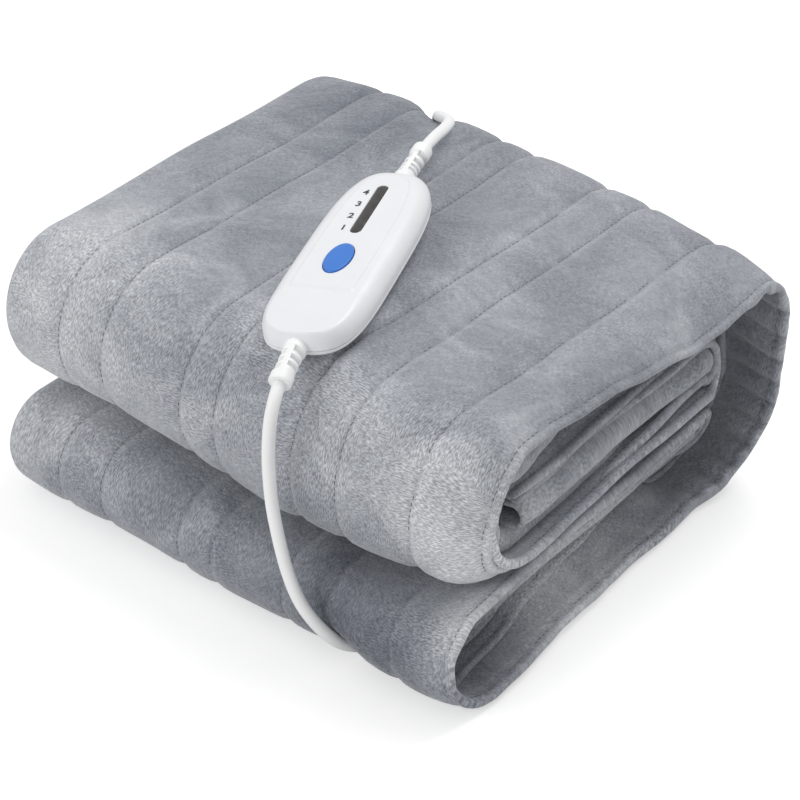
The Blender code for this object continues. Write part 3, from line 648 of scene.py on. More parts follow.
def section_point(station, stretch, share):
    """(y, z, thickness) of a layer's middle, at a share of one stretch of the section."""
    low = lower_thickness(station)
    low_pitch = low + LAYER_GAP
    fold_up = station.front_up + LAYERS / 2 * (upper_thickness(station, station.front_up) + LAYER_GAP)
    fold_low = station.front_low + LAYERS / 2 * low_pitch
    corner_y = station.back - TOP_CORNER_RADIUS
    corner_z = station.top_back - TOP_CORNER_RADIUS
    wall = upper_thickness(station, corner_y)
    floor_y = station.back - BOTTOM_CORNER_RADIUS
    if stretch == "upper_flap":
        y = fold_up - FREE_END_TUCK + (UPPER_TURN_Y - fold_up + FREE_END_TUCK) * share
        return y, upper_height(station, y, 1), upper_thickness(station, y)
    if stretch == "upper_turn":
        high, deep = (upper_height(station, UPPER_TURN_Y, place) for place in (1, 0))
        y, z = around(UPPER_TURN_Y, (high + deep) / 2, (high - deep) / 2, 90, -90, share)
        return y, z, upper_thickness(station, UPPER_TURN_Y)
    if stretch == "upper_return":
        y = UPPER_TURN_Y + (fold_up - UPPER_TURN_Y) * share
        return y, upper_height(station, y, 0), upper_thickness(station, y)
    if stretch == "upper_front":
        high, deep = (upper_height(station, fold_up, place) for place in (2, 0))
        y, z = around(fold_up, (high + deep) / 2, (high - deep) / 2, -90, -270, share)
        return y, z, upper_thickness(station, fold_up)
    if stretch == "top":
        y = fold_up + (corner_y - fold_up) * share
        return y, upper_height(station, y, 2), upper_thickness(station, y)
    if stretch == "top_corner":
        y, z = around(corner_y, corner_z, TOP_CORNER_RADIUS - wall / 2, 90, 0, share)
        return y, z, wall
    if stretch == "back_wall":
        thick = wall + (low - wall) * eased(share)
        z = corner_z + (BOTTOM_CORNER_RADIUS - corner_z) * share
        return station.back - thick / 2, z, thick
    if stretch == "bottom_corner":
        radius = BOTTOM_CORNER_RADIUS - low / 2
        y, z = around(floor_y, BOTTOM_CORNER_RADIUS, radius, 0, -90, share)
        return y, z, low
    if stretch == "bottom":
        return floor_y + (fold_low - floor_y) * share, lower_height(station, 0), low
    if stretch == "lower_front":
        y, z = around(fold_low, lower_height(station, 1), low_pitch, -90, -270, share)
        return y, z, low
    if stretch == "lower_return":
        return fold_low + (LOWER_TURN_Y - fold_low) * share, lower_height(station, 2), low
    if stretch == "lower_turn":
        middle = lower_height(station, (1 + 2) / 2)
        y, z = around(LOWER_TURN_Y, middle, low_pitch / 2, 90, -90, share)
        return y, z, low
    end_y = fold_low - FREE_END_TUCK
    return LOWER_TURN_Y + (end_y - LOWER_TURN_Y) * share, lower_height(station, 1), low


# ---------------------------------------------------------------- the throw as one sheet

# Places of the sewn channels across the outer ply, and of the hem's stitch line.
SEAMS = (-0.110, -0.0805, -0.0265, -0.0046, 0.0435, 0.071, 0.113)
SEAM_PROFILE = ((-0.006, 0.97), (-0.0028, 0.82), (0, 0.50), (0.0028, 0.82), (0.006, 0.97))
SEAM_DROP = 0.0009  # how far the stitches pull the whole ply in
HEM_STITCH = 0.0042
HEM_PROFILE = (
    (0.0, 0.32),
    (0.0004, 0.60),
    (0.0012, 0.80),
    (0.0026, 0.84),
    (HEM_STITCH, 0.60),
    (0.0060, 0.86),
    (0.0090, 0.98),
    (0.0130, 1.0),
)
NOMINAL_HEM = 0.151
NOMINAL_FOLD = -0.142
PLIES = 4
SHEET_SHARE = 0.86  # the sheet's thickness, as a share of a quarter of the layer's
HALF_PLY = SHEET_SHARE / PLIES / 2
FULL_THICKNESS = 0.012  # what a thickness weight of 1 stands for
COLUMN_STEP = 0.0062  # the widest step between the outer ply's columns
MOUTH_DEPTH = 0.034  # how deep behind the hems the plies leave their even spacing

# A column of the sheet: what its X reaches for, its share of the way there from the fold, the two
# plies it turns between and how far round it is, its thickness and its distance to stitches.
Column = namedtuple("Column", "kind share low high turn thickness seam")
OUTER, SECOND, THIRD, FOURTH = range(4)
FOLD_STEPS, ROLL_STEPS, INNER_FOLD_STEPS = 9, 8, 6
CLEAR_OF_HEM = 0.01  # how far the second ply's own columns keep from its hem's, as a share
INNER_SHARES = (0.0, 0.06, 0.14, 0.25, 0.38, 0.52, 0.64, 0.74, 0.82, 0.88, 0.925, 0.955, 0.98, 1.0)


def outer_ply_columns():
    """Columns of the outer ply, from its hem to the fold: close together at each seam."""
    marks = {NOMINAL_FOLD: (1.0, FAR_FROM_SEAM)}
    for seam in SEAMS:
        for step, weight in SEAM_PROFILE:
            marks[seam + step] = (weight, abs(step))
    for inset, weight in HEM_PROFILE:
        marks[NOMINAL_HEM - inset] = (weight, abs(inset - HEM_STITCH))
    places = sorted(marks)
    for low, high in zip(places, places[1:]):
        steps = int((high - low) / COLUMN_STEP)
        for step in range(1, steps + 1):
            x = low + (high - low) * step / (steps + 1)
            marks[x] = (1.0, min([FAR_FROM_SEAM] + [abs(x - seam) for seam in SEAMS]))
    span = NOMINAL_HEM - NOMINAL_FOLD
    return [
        Column("outer_hem", (x - NOMINAL_FOLD) / span, OUTER, OUTER, 0.0, *marks[x])
        for x in sorted(marks, reverse=True)
    ]


def bend_columns(kind, low, high, steps, share):
    """Columns round a fold or a roll, from one ply to the next."""
    return [
        Column(kind, share, low, high, step / steps, 1.0, FAR_FROM_SEAM)
        for step in range(1, steps)
    ]


def ply_columns(kind, ply, outwards):
    """Columns of an inner ply, between the fold and the roll."""
    columns = [Column(kind, share, ply, ply, 0.0, 1.0, FAR_FROM_SEAM) for share in INNER_SHARES]
    return columns if outwards else columns[::-1]


def second_ply_columns():
    """Columns of the second ply, which ends in the other hem."""
    span = NOMINAL_HEM - NOMINAL_FOLD
    hem = [(1 - inset / span, weight, abs(inset - HEM_STITCH)) for inset, weight in HEM_PROFILE]
    body = [(share, 1.0, FAR_FROM_SEAM) for share in INNER_SHARES if share < hem[-1][0] - CLEAR_OF_HEM]
    return [
        Column("inner_hem", share, SECOND, SECOND, 0.0, weight, seam)
        for share, weight, seam in body + hem[::-1]
    ]


def sheet_columns():
    """All columns across the throw: four plies, two folds and a roll."""
    return (
        outer_ply_columns()
        + bend_columns("outer_hem", OUTER, FOURTH, FOLD_STEPS, 0.0)
        + ply_columns("roll", FOURTH, True)
        + bend_columns("roll", FOURTH, THIRD, ROLL_STEPS, 1.0)
        + ply_columns("roll", THIRD, False)
        + bend_columns("inner_hem", THIRD, SECOND, INNER_FOLD_STEPS, 0.0)
        + second_ply_columns()
    )


def sheet_rows():
    """Each row: stretch name, share of it, how far each ply reaches, and the mouth there."""
    rows = []
    for stretch, following in zip(STRETCHES, STRETCHES[1:] + (LAST_ROW,)):
        here, there = MOUTHS[stretch.name], MOUTHS[following.name]
        for step in range(stretch.rows):
            share = step / stretch.rows
            ends = [a + (b - a) * share for a, b in zip(stretch[2:], following[2:])]
            mouth = [a + (b - a) * eased(share) for a, b in zip(here, there)]
            rows.append((stretch.name, share, ends, mouth))
    rows.append((STRETCHES[-1].name, 1.0, list(LAST_ROW[2:]), list(MOUTHS["end"])))
    return rows


SEED_SHIFT = (7.31, 3.17, 5.77)  # how far apart two seeds lie in the noise


def smooth_noise(points, wavelength, seed):
    """Smooth noise from -1 to 1 at an array of points, with features of that wavelength."""
    shift = Vector([seed * step for step in SEED_SHIFT])
    flat = points.reshape(-1, 3) / wavelength
    values = [noise.noise(Vector(p) + shift) for p in flat]
    return np.array(values).reshape(points.shape[:-1])


HEM_KINDS = ("outer_hem", "inner_hem", "roll")
ROW_PITCH = 0.0045  # about the distance between rows, for the noise along them
WANDER = ((2.2, 0.045, 0), (1.0, 0.016, 9))  # the hems': how far (mm), wavelength and seed
FOLD_X = -0.150  # where the layers' thickness is read for the fold, and for the mouth
MOUTH_X = 0.145


def lay_out_sheet(rows, columns):
    """The sheet's middle surface, its rows' outward directions and its thickness."""
    count = (len(rows), len(columns))
    share, turn, low, high, weight = (
        np.array([getattr(column, part) for column in columns])
        for part in ("share", "turn", "low", "high", "thickness")
    )
    side = np.where(share < 0.5, -1.0, 1.0)
    fold_station, mouth_station = (stations_at(np.array([place])) for place in (FOLD_X, MOUTH_X))
    x, y, z, thick, offset, loft = (np.zeros(count) for _ in range(6))
    along = np.array([[0.0, 0.0, row * ROW_PITCH] for row in range(count[0])])
    wander = {
        kind: sum(size * smooth_noise(along, length, seed + more) for size, length, more in WANDER)
        for seed, kind in enumerate(HEM_KINDS, start=1)
    }
    for i, (name, stretch_share, ends, mouth) in enumerate(rows):
        fold_thick = section_point(fold_station, name, stretch_share)[2][0]
        mouth_thick = section_point(mouth_station, name, stretch_share)[2][0]
        fold_x = ends[3] * MM + (CLOSED.outer + HALF_PLY) * fold_thick
        reach = {kind: (end + wander[kind][i]) * MM for kind, end in zip(HEM_KINDS, ends)}
        reach["roll"] -= ((mouth[THIRD] - mouth[FOURTH]) / 2 + HALF_PLY) * mouth_thick
        end_x = np.array([reach[column.kind] for column in columns])
        x[i] = fold_x + (end_x - fold_x) * share
        opening = eased(np.clip((x[i] - reach["outer_hem"] + MOUTH_DEPTH) / MOUTH_DEPTH, 0, 1))
        closed, open_wide = (np.array(plies[:PLIES])[:, None] for plies in (CLOSED, mouth))
        plies = closed * (1 - opening) + open_wide * opening
        start = np.take_along_axis(plies, low[None, :], axis=0)[0]
        finish = np.take_along_axis(plies, high[None, :], axis=0)[0]
        offset[i] = (start + finish) / 2 + (start - finish) / 2 * np.cos(np.pi * turn)
        y[i], z[i], thick[i] = section_point(stations_at(x[i]), name, stretch_share)
        x[i] += side * np.abs(start - finish) / 2 * np.sin(np.pi * turn) * thick[i]
        loft[i] = thick[i] / PLIES * SHEET_SHARE * weight * (1 + (mouth[4] - 1) * opening)
    step_y, step_z = np.gradient(y, axis=0), np.gradient(z, axis=0)
    size = np.hypot(step_y, step_z)
    outward = np.stack([np.zeros(count), -step_z / size, step_y / size], axis=-1)
    points = np.stack([x, y, z], axis=-1) + outward * (thick * offset)[..., None]
    return points, outward, loft


# Soft troughs and swellings: from a point to a point, how wide they are, and how
# far the cloth is pushed at their middle line (mm).
Crease = namedtuple("Crease", "start end width push")
CREASES = (
    Crease((150, -116, 134), (151, -128, 110), 16, (0, 0, -3)),
    Crease((150, -90, 140), (151, -30, 142), 20, (0, 0, 7)),
    Crease((150, 50, 138), (150, 95, 138), 22, (0, 0, -7)),
    Crease((118, -60, 6), (112, 60, 6), 11, (0, 0, 12)),
    Crease((25, -124, 60), (140, -122, 62), 24, (0, -3, -4)),
)


def push_creases(points):
    """Moves the cloth at each crease, most at its middle line."""
    moved = points.copy()
    for crease in CREASES:
        start, end = (np.array(place) * MM for place in (crease.start, crease.end))
        line = end - start
        share = np.clip((points - start) @ line / (line @ line), 0, 1)
        gap = np.linalg.norm(points - start - share[..., None] * line, axis=-1)
        pull = np.exp(-((gap / (crease.width * MM)) ** 2))
        moved += pull[..., None] * np.array(crease.push) * MM
    return moved


SEAM_REACH = 0.0045
HEM_DROOP = 0.0062  # how far the top ply's hem rolls down
HEM_DROOP_REACH = 0.026
DROOP_SOFTNESS = 6  # rows
DROOPING = ("upper_front", "top", "upper_flap")


def on_outer_ply(columns):
    return np.array([column.low == OUTER and column.high == OUTER for column in columns])


def soften(values, reach):
    """Averages each value with its neighbours up to a reach away."""
    width = 2 * reach + 1
    return np.convolve(np.pad(values, reach, mode="edge"), np.ones(width) / width, mode="valid")


def drop_seams(points, outward, columns):
    """Draws the outer ply in a little along its rows of stitches."""
    seam = np.array([column.seam for column in columns])
    depth = SEAM_DROP * np.exp(-((seam / SEAM_REACH) ** 2)) * on_outer_ply(columns)
    return points - outward * depth[None, :, None]


def droop_hem(points, outward, rows, columns):
    """Lets the hem of the stack's top ply roll softly over the edge."""
    depth = HEM_DROOP * soften([float(row[0] in DROOPING) for row in rows], DROOP_SOFTNESS)
    inset = points[:, :1, 0] - points[..., 0]
    roll = np.clip(1 - inset / HEM_DROOP_REACH, 0, 1) ** 2 * on_outer_ply(columns)
    return points - outward * (depth[:, None] * roll)[..., None]


PLEAT_LENGTH = 0.0155
PLEAT_DEPTH = 0.0046
PLEAT_SWAY = 1.4  # how unevenly the pleats are spaced, and over what length
PLEAT_SWAY_LENGTH = 0.031
PLEATS_START_X = 0.108
PLEATS_FADE_IN = 0.035
PLEATS_FROM, PLEATS_TO = 4, 8  # rows before the top corner, and past the start of the bottom
PLEAT_COLUMN = 6  # the column near the hem that the pleats are spaced along


def pleat_wrap(points, outward, loft, rows):
    """Pleats that run in from the hem on the wrap's inner face, and leave its outer face smooth."""
    names = [row[0] for row in rows]
    first, last = names.index("top_corner") - PLEATS_FROM, names.index("bottom") + PLEATS_TO
    along = travelled(points[:, PLEAT_COLUMN, :])
    span = np.zeros(len(rows))
    span[first:last] = np.sin(np.pi * np.linspace(0, 1, last - first)) ** 0.5
    sway = PLEAT_SWAY * np.sin(along / PLEAT_SWAY_LENGTH)
    wave = np.sin(along / PLEAT_LENGTH * 2 * np.pi + sway)
    fade_in = eased(np.clip((points[..., 0] - PLEATS_START_X) / PLEATS_FADE_IN, 0, 1))
    depth = PLEAT_DEPTH * (span * (0.5 + 0.5 * wave))[:, None] * fade_in
    return points - outward * depth[..., None] / 2, loft + depth


CORD_CLEARANCE = 0.0006
DENT_WIDTH = 0.0085  # of the dent that a cord presses into the cloth
DENT_FADE = 0.009  # how soon the push fades beside the cord
DENT_REACH = 0.03  # cloth farther aside, or farther above or below, is left alone
DENT_DEPTH = 0.02
POINTS_AT_ONCE = 6000


def nearest_on(path, points):
    """Nearest point of a path to each point."""
    flat = points.reshape(-1, 3)
    nearest = np.empty_like(flat)
    for start in range(0, len(flat), POINTS_AT_ONCE):
        some = slice(start, start + POINTS_AT_ONCE)
        gaps = ((flat[some, None, :] - path[None, :, :]) ** 2).sum(axis=2)
        nearest[some] = path[gaps.argmin(axis=1)]
    return nearest.reshape(points.shape)


def clear_cords(points, outward, loft, cords):
    """Presses the cloth back where a cord lies on it or runs under it."""
    for path in cords:
        away = points - nearest_on(path, points)
        depth = -(away * outward).sum(axis=-1)
        aside = np.sqrt(np.maximum((away**2).sum(axis=-1) - depth**2, 0))
        need = (CORD_RADIUS + CORD_CLEARANCE) * np.exp(-((aside / DENT_WIDTH) ** 2)) + loft / 2
        near = (np.abs(depth) < DENT_DEPTH) & (aside < DENT_REACH)
        push = np.where(near, np.maximum(need - depth, 0), 0)
        push *= np.where(aside > CORD_RADIUS, np.exp(-(((aside - CORD_RADIUS) / DENT_FADE) ** 2)), 1)
        points = points - outward * push[..., None]
    return points


BED_HALF_WIDTH = 0.0285
BED_HALF_LENGTH = 0.0790
BED_ROUNDNESS = 3.0
BED_DEPTH = 0.008  # cloth deeper than this below the controller stays where it is
BED_GAP = 0.0004
BED_RISE = 0.0014  # how far the cloth comes up round the base
BED_SHOULDER = 0.0055  # how far the cloth may stand up beyond that
UNDER_BED = -0.03
# Rings round the base, from a reach and how much farther: the rise, the shoulder, the drawing up.
RISE_RING = (1.0, 0.12)
SHOULDER_RING = (1.12, 0.45)
LIFT_RING = (1.1, 0.5)
BED_REACH = 1.5


def in_ring(reach, ring):
    """How far a reach has come through a ring, from 0 to 1."""
    return eased(np.clip((reach - ring[0]) / ring[1], 0, 1))


def bed_controller(points, loft):
    """Keeps the cloth under the controller's base, and draws it up close all round it."""
    to_base = CONTROLLER_FRAME.inverted()
    local = points @ np.array(to_base.to_3x3()).T + np.array(to_base.translation)
    shares = (np.abs(local[..., 0] / BED_HALF_WIDTH), np.abs(local[..., 1] / BED_HALF_LENGTH))
    reach = (shares[0] ** BED_ROUNDNESS + shares[1] ** BED_ROUNDNESS) ** (1 / BED_ROUNDNESS)
    skin = local[..., 2] + loft / 2
    bed = -BED_GAP + BED_RISE * in_ring(reach, RISE_RING)
    ceiling = bed + BED_SHOULDER * in_ring(reach, SHOULDER_RING)
    near = (local[..., 2] > UNDER_BED) & (reach < BED_REACH)
    high = np.where(near, np.maximum(skin - ceiling, 0), 0)
    short = np.maximum(bed - skin, 0)
    lift = short * np.clip(1 - short / BED_DEPTH, 0, 1) * (1 - in_ring(reach, LIFT_RING))
    return points + (lift - high)[..., None] * np.array(CONTROLLER_FRAME.to_3x3().col[2])


# Brushed pile and painted light and shade: a place, how far it spreads (mm) and how much.
PileAndPaintedLight = namedtuple("PileAndPaintedLight", "place spread gain")
PLAIN_PILE = 0.37  # the value of brushed pile and painted light where no entry reaches
# Most entries are painted light and shade: the upper fronts lighter, the top's back and the lower front
# darker.
PILE_AND_PAINTED_LIGHT = (
    PileAndPaintedLight((-140, -110, 105), 70, 0.32),
    PileAndPaintedLight((-60, -128, 90), 60, 0.10),
    PileAndPaintedLight((60, -130, 95), 60, 0.26),
    PileAndPaintedLight((135, -128, 95), 45, 0.40),
    PileAndPaintedLight((150, -128, 60), 29, 0.72),
    PileAndPaintedLight((-110, 110, 150), 75, -0.27),
    PileAndPaintedLight((-60, 0, 150), 60, -0.05),
    PileAndPaintedLight((90, 60, 150), 60, -0.01),
    PileAndPaintedLight((-60, -130, 25), 80, -0.08),
    PileAndPaintedLight((80, -140, 25), 70, -0.50),
    PileAndPaintedLight((-150, -130, 25), 50, 0.08),
    PileAndPaintedLight((140, -30, 18), 48, 0.38),
    PileAndPaintedLight((152, -40, 140), 26, -0.12),
    PileAndPaintedLight((-115, -25, 150), 42, -0.09),
)
# How ruffled the pile stands on each stretch, from 0, brushed flat, to 1.
RUFFLED = {"upper_front": 1.0, "lower_front": 1.0, "top": 0.50, "top_corner": 0.55}
PLAIN_RUFFLE = 0.7
RUFFLE_SOFTNESS = 4  # rows
RUFFLE_UNEVEN = 0.45
RUFFLE_PATCH = 0.04
RUFFLE_SEED = 12
SWELL_WAVELENGTH = 0.075
SWELL_SEEDS = (3, 4, 5)
SWELL_SIZE = np.array([0.0012, 0.0024, 0.0026])
FLOOR_GAP = 0.0002
PLACE_COLUMN = 6  # one in six of the columns lies before the one the pile is measured along
END_FULLNESS, FULLER_EACH_ROW = 0.4, 0.3  # how full the sheet's two ends are, and the rows after


def pile_and_painted_light_tone(points):
    """How light the pile is brushed at each point, with painted light and shade added."""
    tone = np.full(points.shape[:-1], PLAIN_PILE)
    for patch in PILE_AND_PAINTED_LIGHT:
        gap = np.linalg.norm(points - np.array(patch.place) * MM, axis=-1)
        tone += patch.gain * np.exp(-((gap / (patch.spread * MM)) ** 2))
    return tone


def pile_ruffle(points, rows):
    """How ruffled the pile stands at each point."""
    ruffle = soften([RUFFLED.get(row[0], PLAIN_RUFFLE) for row in rows], RUFFLE_SOFTNESS)
    return ruffle[:, None] * (1 + RUFFLE_UNEVEN * smooth_noise(points, RUFFLE_PATCH, RUFFLE_SEED))


def shape_cloth(rows, columns, cords):
    """The sheet's final middle surface and thickness."""
    points, outward, loft = lay_out_sheet(rows, columns)
    swell = [smooth_noise(points, SWELL_WAVELENGTH, seed) for seed in SWELL_SEEDS]
    points = points + np.stack(swell, axis=-1) * SWELL_SIZE
    points = push_creases(points)
    points = drop_seams(points, outward, columns)
    points = droop_hem(points, outward, rows, columns)
    points, loft = pleat_wrap(points, outward, loft, rows)
    points = bed_controller(points, loft)
    points = clear_cords(points, outward, loft, cords)
    points[..., 2] = np.maximum(points[..., 2], loft / 2 + FLOOR_GAP)
    return points, loft


def make_throw(cords):
    """The throw: one sheet, folded four ways across and laid back and forth."""
    rows, columns = sheet_rows(), sheet_columns()
    points, loft = shape_cloth(rows, columns, cords)
    shape = bmesh.new()
    place = shape.verts.layers.float_vector.new("cloth_place")
    seam, shade, stand = (shape.verts.layers.float.new(name) for name in ("seam", "brushed_and_painted_light", "ruffle"))
    weights = shape.verts.layers.deform.verify()
    # The pile's tone holds brushed pile and painted light and shade.
    tone, ruffle = pile_and_painted_light_tone(points), pile_ruffle(points, rows)
    # The pile's place on the flat throw: along it on a column of the outer ply, across it on average.
    along = travelled(points[:, len(columns) // PLACE_COLUMN, :])
    across = np.cumsum(np.linalg.norm(np.diff(points, axis=1), axis=2).mean(axis=0))
    across = np.concatenate([[0], across])
    grid = []
    for i in range(len(rows)):
        fullness = min(1.0, END_FULLNESS + FULLER_EACH_ROW * min(i, len(rows) - 1 - i))
        line = []
        for j, column in enumerate(columns):
            vertex = shape.verts.new(points[i, j])
            vertex[place] = (across[j], along[i], 0.0)
            vertex[seam] = column.seam
            vertex[shade] = tone[i, j]
            vertex[stand] = ruffle[i, j]
            vertex[weights][0] = min(loft[i, j] * fullness / FULL_THICKNESS, 1.0)
            line.append(vertex)
        grid.append(line)
    for low, high in zip(grid, grid[1:]):
        for j in range(len(columns) - 1):
            shape.faces.new((low[j], low[j + 1], high[j + 1], high[j]))
    throw = new_object("throw", new_mesh("throw", shape))
    throw.vertex_groups.new(name="loft")
    solidify = throw.modifiers.new("plush", "SOLIDIFY")
    solidify.thickness = FULL_THICKNESS
    solidify.offset = 0.0
    solidify.vertex_group = "loft"
    throw.data.shade_smooth()
    throw.data.materials.append(plush_material())
    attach(throw, BODY)
    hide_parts("blanket")
    make_stitches(rows, columns, points, loft)


# ---------------------------------------------------------------- rows of stitches

STITCH_PITCH = 0.0034
STITCH_LENGTH = 0.0024
STITCH_RADIUS = 0.00024
STITCH_SIDES = 5
STITCH_PATCH = 0.013
STITCH_BURIED = -0.12  # stitches where the noise is lower lie hidden in the pile
LAST_CHANNEL_X = 0.14  # a seam of the outer ply beyond this is its hem's
# Along a stitch: place, thickness, and height above the cloth, each as a share.
STITCH_RINGS = (
    (0.0, 0.35, -1.2), (0.14, 1.0, 0.35), (0.5, 1.1, 0.6), (0.86, 1.0, 0.35), (1.0, 0.35, -1.2)
)


def surface_normals(points):
    """Normals of the laid-out sheet, which point outwards on its outer ply."""
    normals = np.cross(np.gradient(points, axis=0), np.gradient(points, axis=1))
    return normals / (np.linalg.norm(normals, axis=-1, keepdims=True) + 1e-12)


def ring_points(centre, side, over, radii):
    """A ring of points about a centre, with a radius for each."""
    ring = []
    for number, radius in enumerate(radii):
        angle = 2 * math.pi * number / len(radii)
        ring.append(centre + radius * (math.cos(angle) * side + math.sin(angle) * over))
    return ring


def bridge_rings(shape, rings):
    """Faces between rings of equally many points, and the rings' vertices."""
    loops = [[shape.verts.new(point) for point in ring] for ring in rings]
    for low, high in zip(loops, loops[1:]):
        for i in range(len(low)):
            after = (i + 1) % len(low)
            shape.faces.new((low[i], low[after], high[after], high[i]))
    return loops


def add_stitch(shape, start, heading, normal):
    """One stitch, which dips into the cloth at both ends."""
    side = np.cross(heading, normal)
    side /= np.linalg.norm(side)
    rings = []
    for share, size, height in STITCH_RINGS:
        centre = start + heading * share + normal * height * STITCH_RADIUS
        rings.append(ring_points(centre, side, normal, [size * STITCH_RADIUS] * STITCH_SIDES))
    loops = bridge_rings(shape, rings)
    shape.faces.new(loops[0][::-1])
    shape.faces.new(loops[-1])


def add_stitch_line(shape, places, normals):
    """Stitches along a line of places on the cloth."""
    run = travelled(places)
    for place in np.arange(STITCH_PITCH / 2, run[-1] - STITCH_LENGTH, STITCH_PITCH):
        start = at_place(place, run, places)
        if noise.noise(Vector(start) / STITCH_PATCH) >= STITCH_BURIED:
            heading = at_place(place + STITCH_LENGTH, run, places) - start
            normal = at_place(place, run, normals)
            add_stitch(shape, start, heading, normal / np.linalg.norm(normal))


def make_stitches(rows, columns, points, loft):
    """The channels' and hems' rows of stitches, as two joined pieces."""
    names = [row[0] for row in rows]
    sewn = slice(names.index("upper_front"), names.index("lower_return"))
    last_channel = (LAST_CHANNEL_X - NOMINAL_FOLD) / (NOMINAL_HEM - NOMINAL_FOLD)
    normals = surface_normals(points)
    material = thread_material_with_painted_shade()
    channels, hems = bmesh.new(), bmesh.new()
    for j, column in enumerate(columns):
        if column.seam > 1e-6 or column.low != column.high:
            continue
        lift = normals[:, j] * (loft[:, j] / 2)[:, None]
        if column.kind == "outer_hem" and column.share < last_channel:
            add_stitch_line(channels, (points[:, j] + lift)[sewn], normals[sewn, j])
        else:
            add_stitch_line(hems, points[:, j] + lift, normals[:, j])
            add_stitch_line(hems, points[:, j] - lift, -normals[:, j])
    for name, shape in (("channel_stitches", channels), ("hem_stitches", hems)):
        bmesh.ops.recalc_face_normals(shape, faces=shape.faces)
        piece = add_piece(name, shape, material)
        piece.data.shade_smooth()


# ---------------------------------------------------------------- controller

OUTLINE_STEPS = 336
TAPER_POWER = 1.4
UPPER_END_POWER = 0.60
LOWER_END_POWER = 0.44
SIDE_POWER = 0.62
BASE_EDGE = 0.0050
PARTING_HEIGHT = 0.0034
PARTING_GAP = 0.0003
PARTING_EDGE = 0.0003
PARTING_DEPTH = 0.0030
WALL_TOP = 0.0060
SHOULDER_WIDTH = 0.0109
LOW_SHOULDER_WIDTH = 0.0035
LIP_WIDTH = 0.0013  # the soft step from the rounded side up to the face
LIP_HEIGHT = 0.0009
FACE_LOW_U = -0.0385
FACE_HIGH_U = 0.064
FACE_LOW_HEIGHT = 0.0165
FACE_HIGH_HEIGHT = 0.0162
RAMP_TOP_U = -0.0407
RAMP_TOP_HEIGHT = 0.0154
RAMP_FOOT_HEIGHT = 0.0138
FACE_SLOPE = math.atan2(FACE_LOW_HEIGHT - FACE_HIGH_HEIGHT, FACE_HIGH_U - FACE_LOW_U)
CREASE_SOFTNESS = 0.00025
SIDE_RINGS = 16
FACE_INSETS = (
    0.0094, 0.0097, 0.0100, 0.0103, 0.0106, 0.0109, 0.0112, 0.0116, 0.0130, 0.0155, 0.0180, 0.0205
)
ROUNDING_STEPS = 8
BUTTON_U = -0.0142
BUTTON_HALF_LENGTH = 0.0130
BUTTON_HALF_WIDTH = 0.0067
BUTTON_TOP = 0.0012
BUTTON_FOOT = -0.0044
BUTTON_RIM = 0.0006
BUTTON_WALL_TOP = 0.0002
BUTTON_CROWN = 0.0003
BUTTON_CROWN_SHARES = (0.2, 0.4, 0.6, 0.8, 0.93)
BUTTON_CROWN_REACH = 0.95
BUTTON_LENGTHWISE = 1.6  # how much faster the button draws in along its length
BUTTON_CLEARANCE = 0.0004
WELL_DEPTH = 0.0057
WELL_BEVEL = 0.0003
FACE_SKIN = 0.00005
CUT_ABOVE = 0.01
OVAL_STEPS = 72
WINDOW_U = 0.0326
WINDOW_V = -0.0007
WINDOW_LENGTH = 0.0455
WINDOW_WIDTH = 0.0054
WINDOW_DEPTH = 0.0016
WINDOW_BED = 0.0003
WINDOW_CLEARANCE = 0.0003
WINDOW_WALL_TOP = -0.0004
WINDOW_EDGE_INSET = 0.0006
WINDOW_EDGE_RISE = 0.0003
WINDOW_EDGE_STEPS = 6
WINDOW_CROWN = ((0.0012, -0.00003), (0.0019, 0.00002), (0.0024, 0.00004))
LEVEL_MARKS = (("4", 0.0475), ("3", 0.0361), ("2", 0.0247), ("1", 0.0133))
MARK_V = -0.0078
MARK_SIZE = 0.0064
MARK_BOLD = 0.00011
MARK_THICKNESS = 0.00004
MARK_LIFT = 0.00008


def add_piece(name, shape, material, body=BODY, replaced=()):
    """A new piece from a bmesh, riding on its body and standing for its CAD node."""
    piece = new_object(name, new_mesh(name, shape))
    piece.data.materials.append(material)
    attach(piece, body)
    if replaced:
        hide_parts(*replaced)
    return piece


def smooth_edges(piece, degrees=38):
    piece.data.shade_smooth()
    piece.data.set_sharp_from_angle(angle=math.radians(degrees))


def outline(inset):
    """The controller's plan outline as (v, u) points, drawn in by an inset."""
    points = []
    for step in range(OUTLINE_STEPS):
        angle = 2 * math.pi * step / OUTLINE_STEPS
        across, along = math.cos(angle), math.sin(angle)
        power = UPPER_END_POWER if along > 0 else LOWER_END_POWER
        u = (CONTROLLER_LENGTH / 2 - inset) * math.copysign(abs(along) ** power, along)
        v = (CONTROLLER_WIDTH / 2 - inset) * math.copysign(abs(across) ** SIDE_POWER, across)
        reach = max(u / CONTROLLER_LENGTH + 0.5, 0)
        points.append((v * (1 - CONTROLLER_TAPER * reach**TAPER_POWER), u))
    return points


def face_height(u):
    """Height of the face, or of the soft step and the ramp below it."""
    if u > FACE_LOW_U:
        return FACE_LOW_HEIGHT - (u - FACE_LOW_U) * math.tan(FACE_SLOPE)
    if u > RAMP_TOP_U:
        share = eased((FACE_LOW_U - u) / (FACE_LOW_U - RAMP_TOP_U))
        return FACE_LOW_HEIGHT + (RAMP_TOP_HEIGHT - FACE_LOW_HEIGHT) * share
    share = (RAMP_TOP_U - u) / (RAMP_TOP_U + CONTROLLER_LENGTH / 2)
    return RAMP_TOP_HEIGHT + (RAMP_FOOT_HEIGHT - RAMP_TOP_HEIGHT) * share


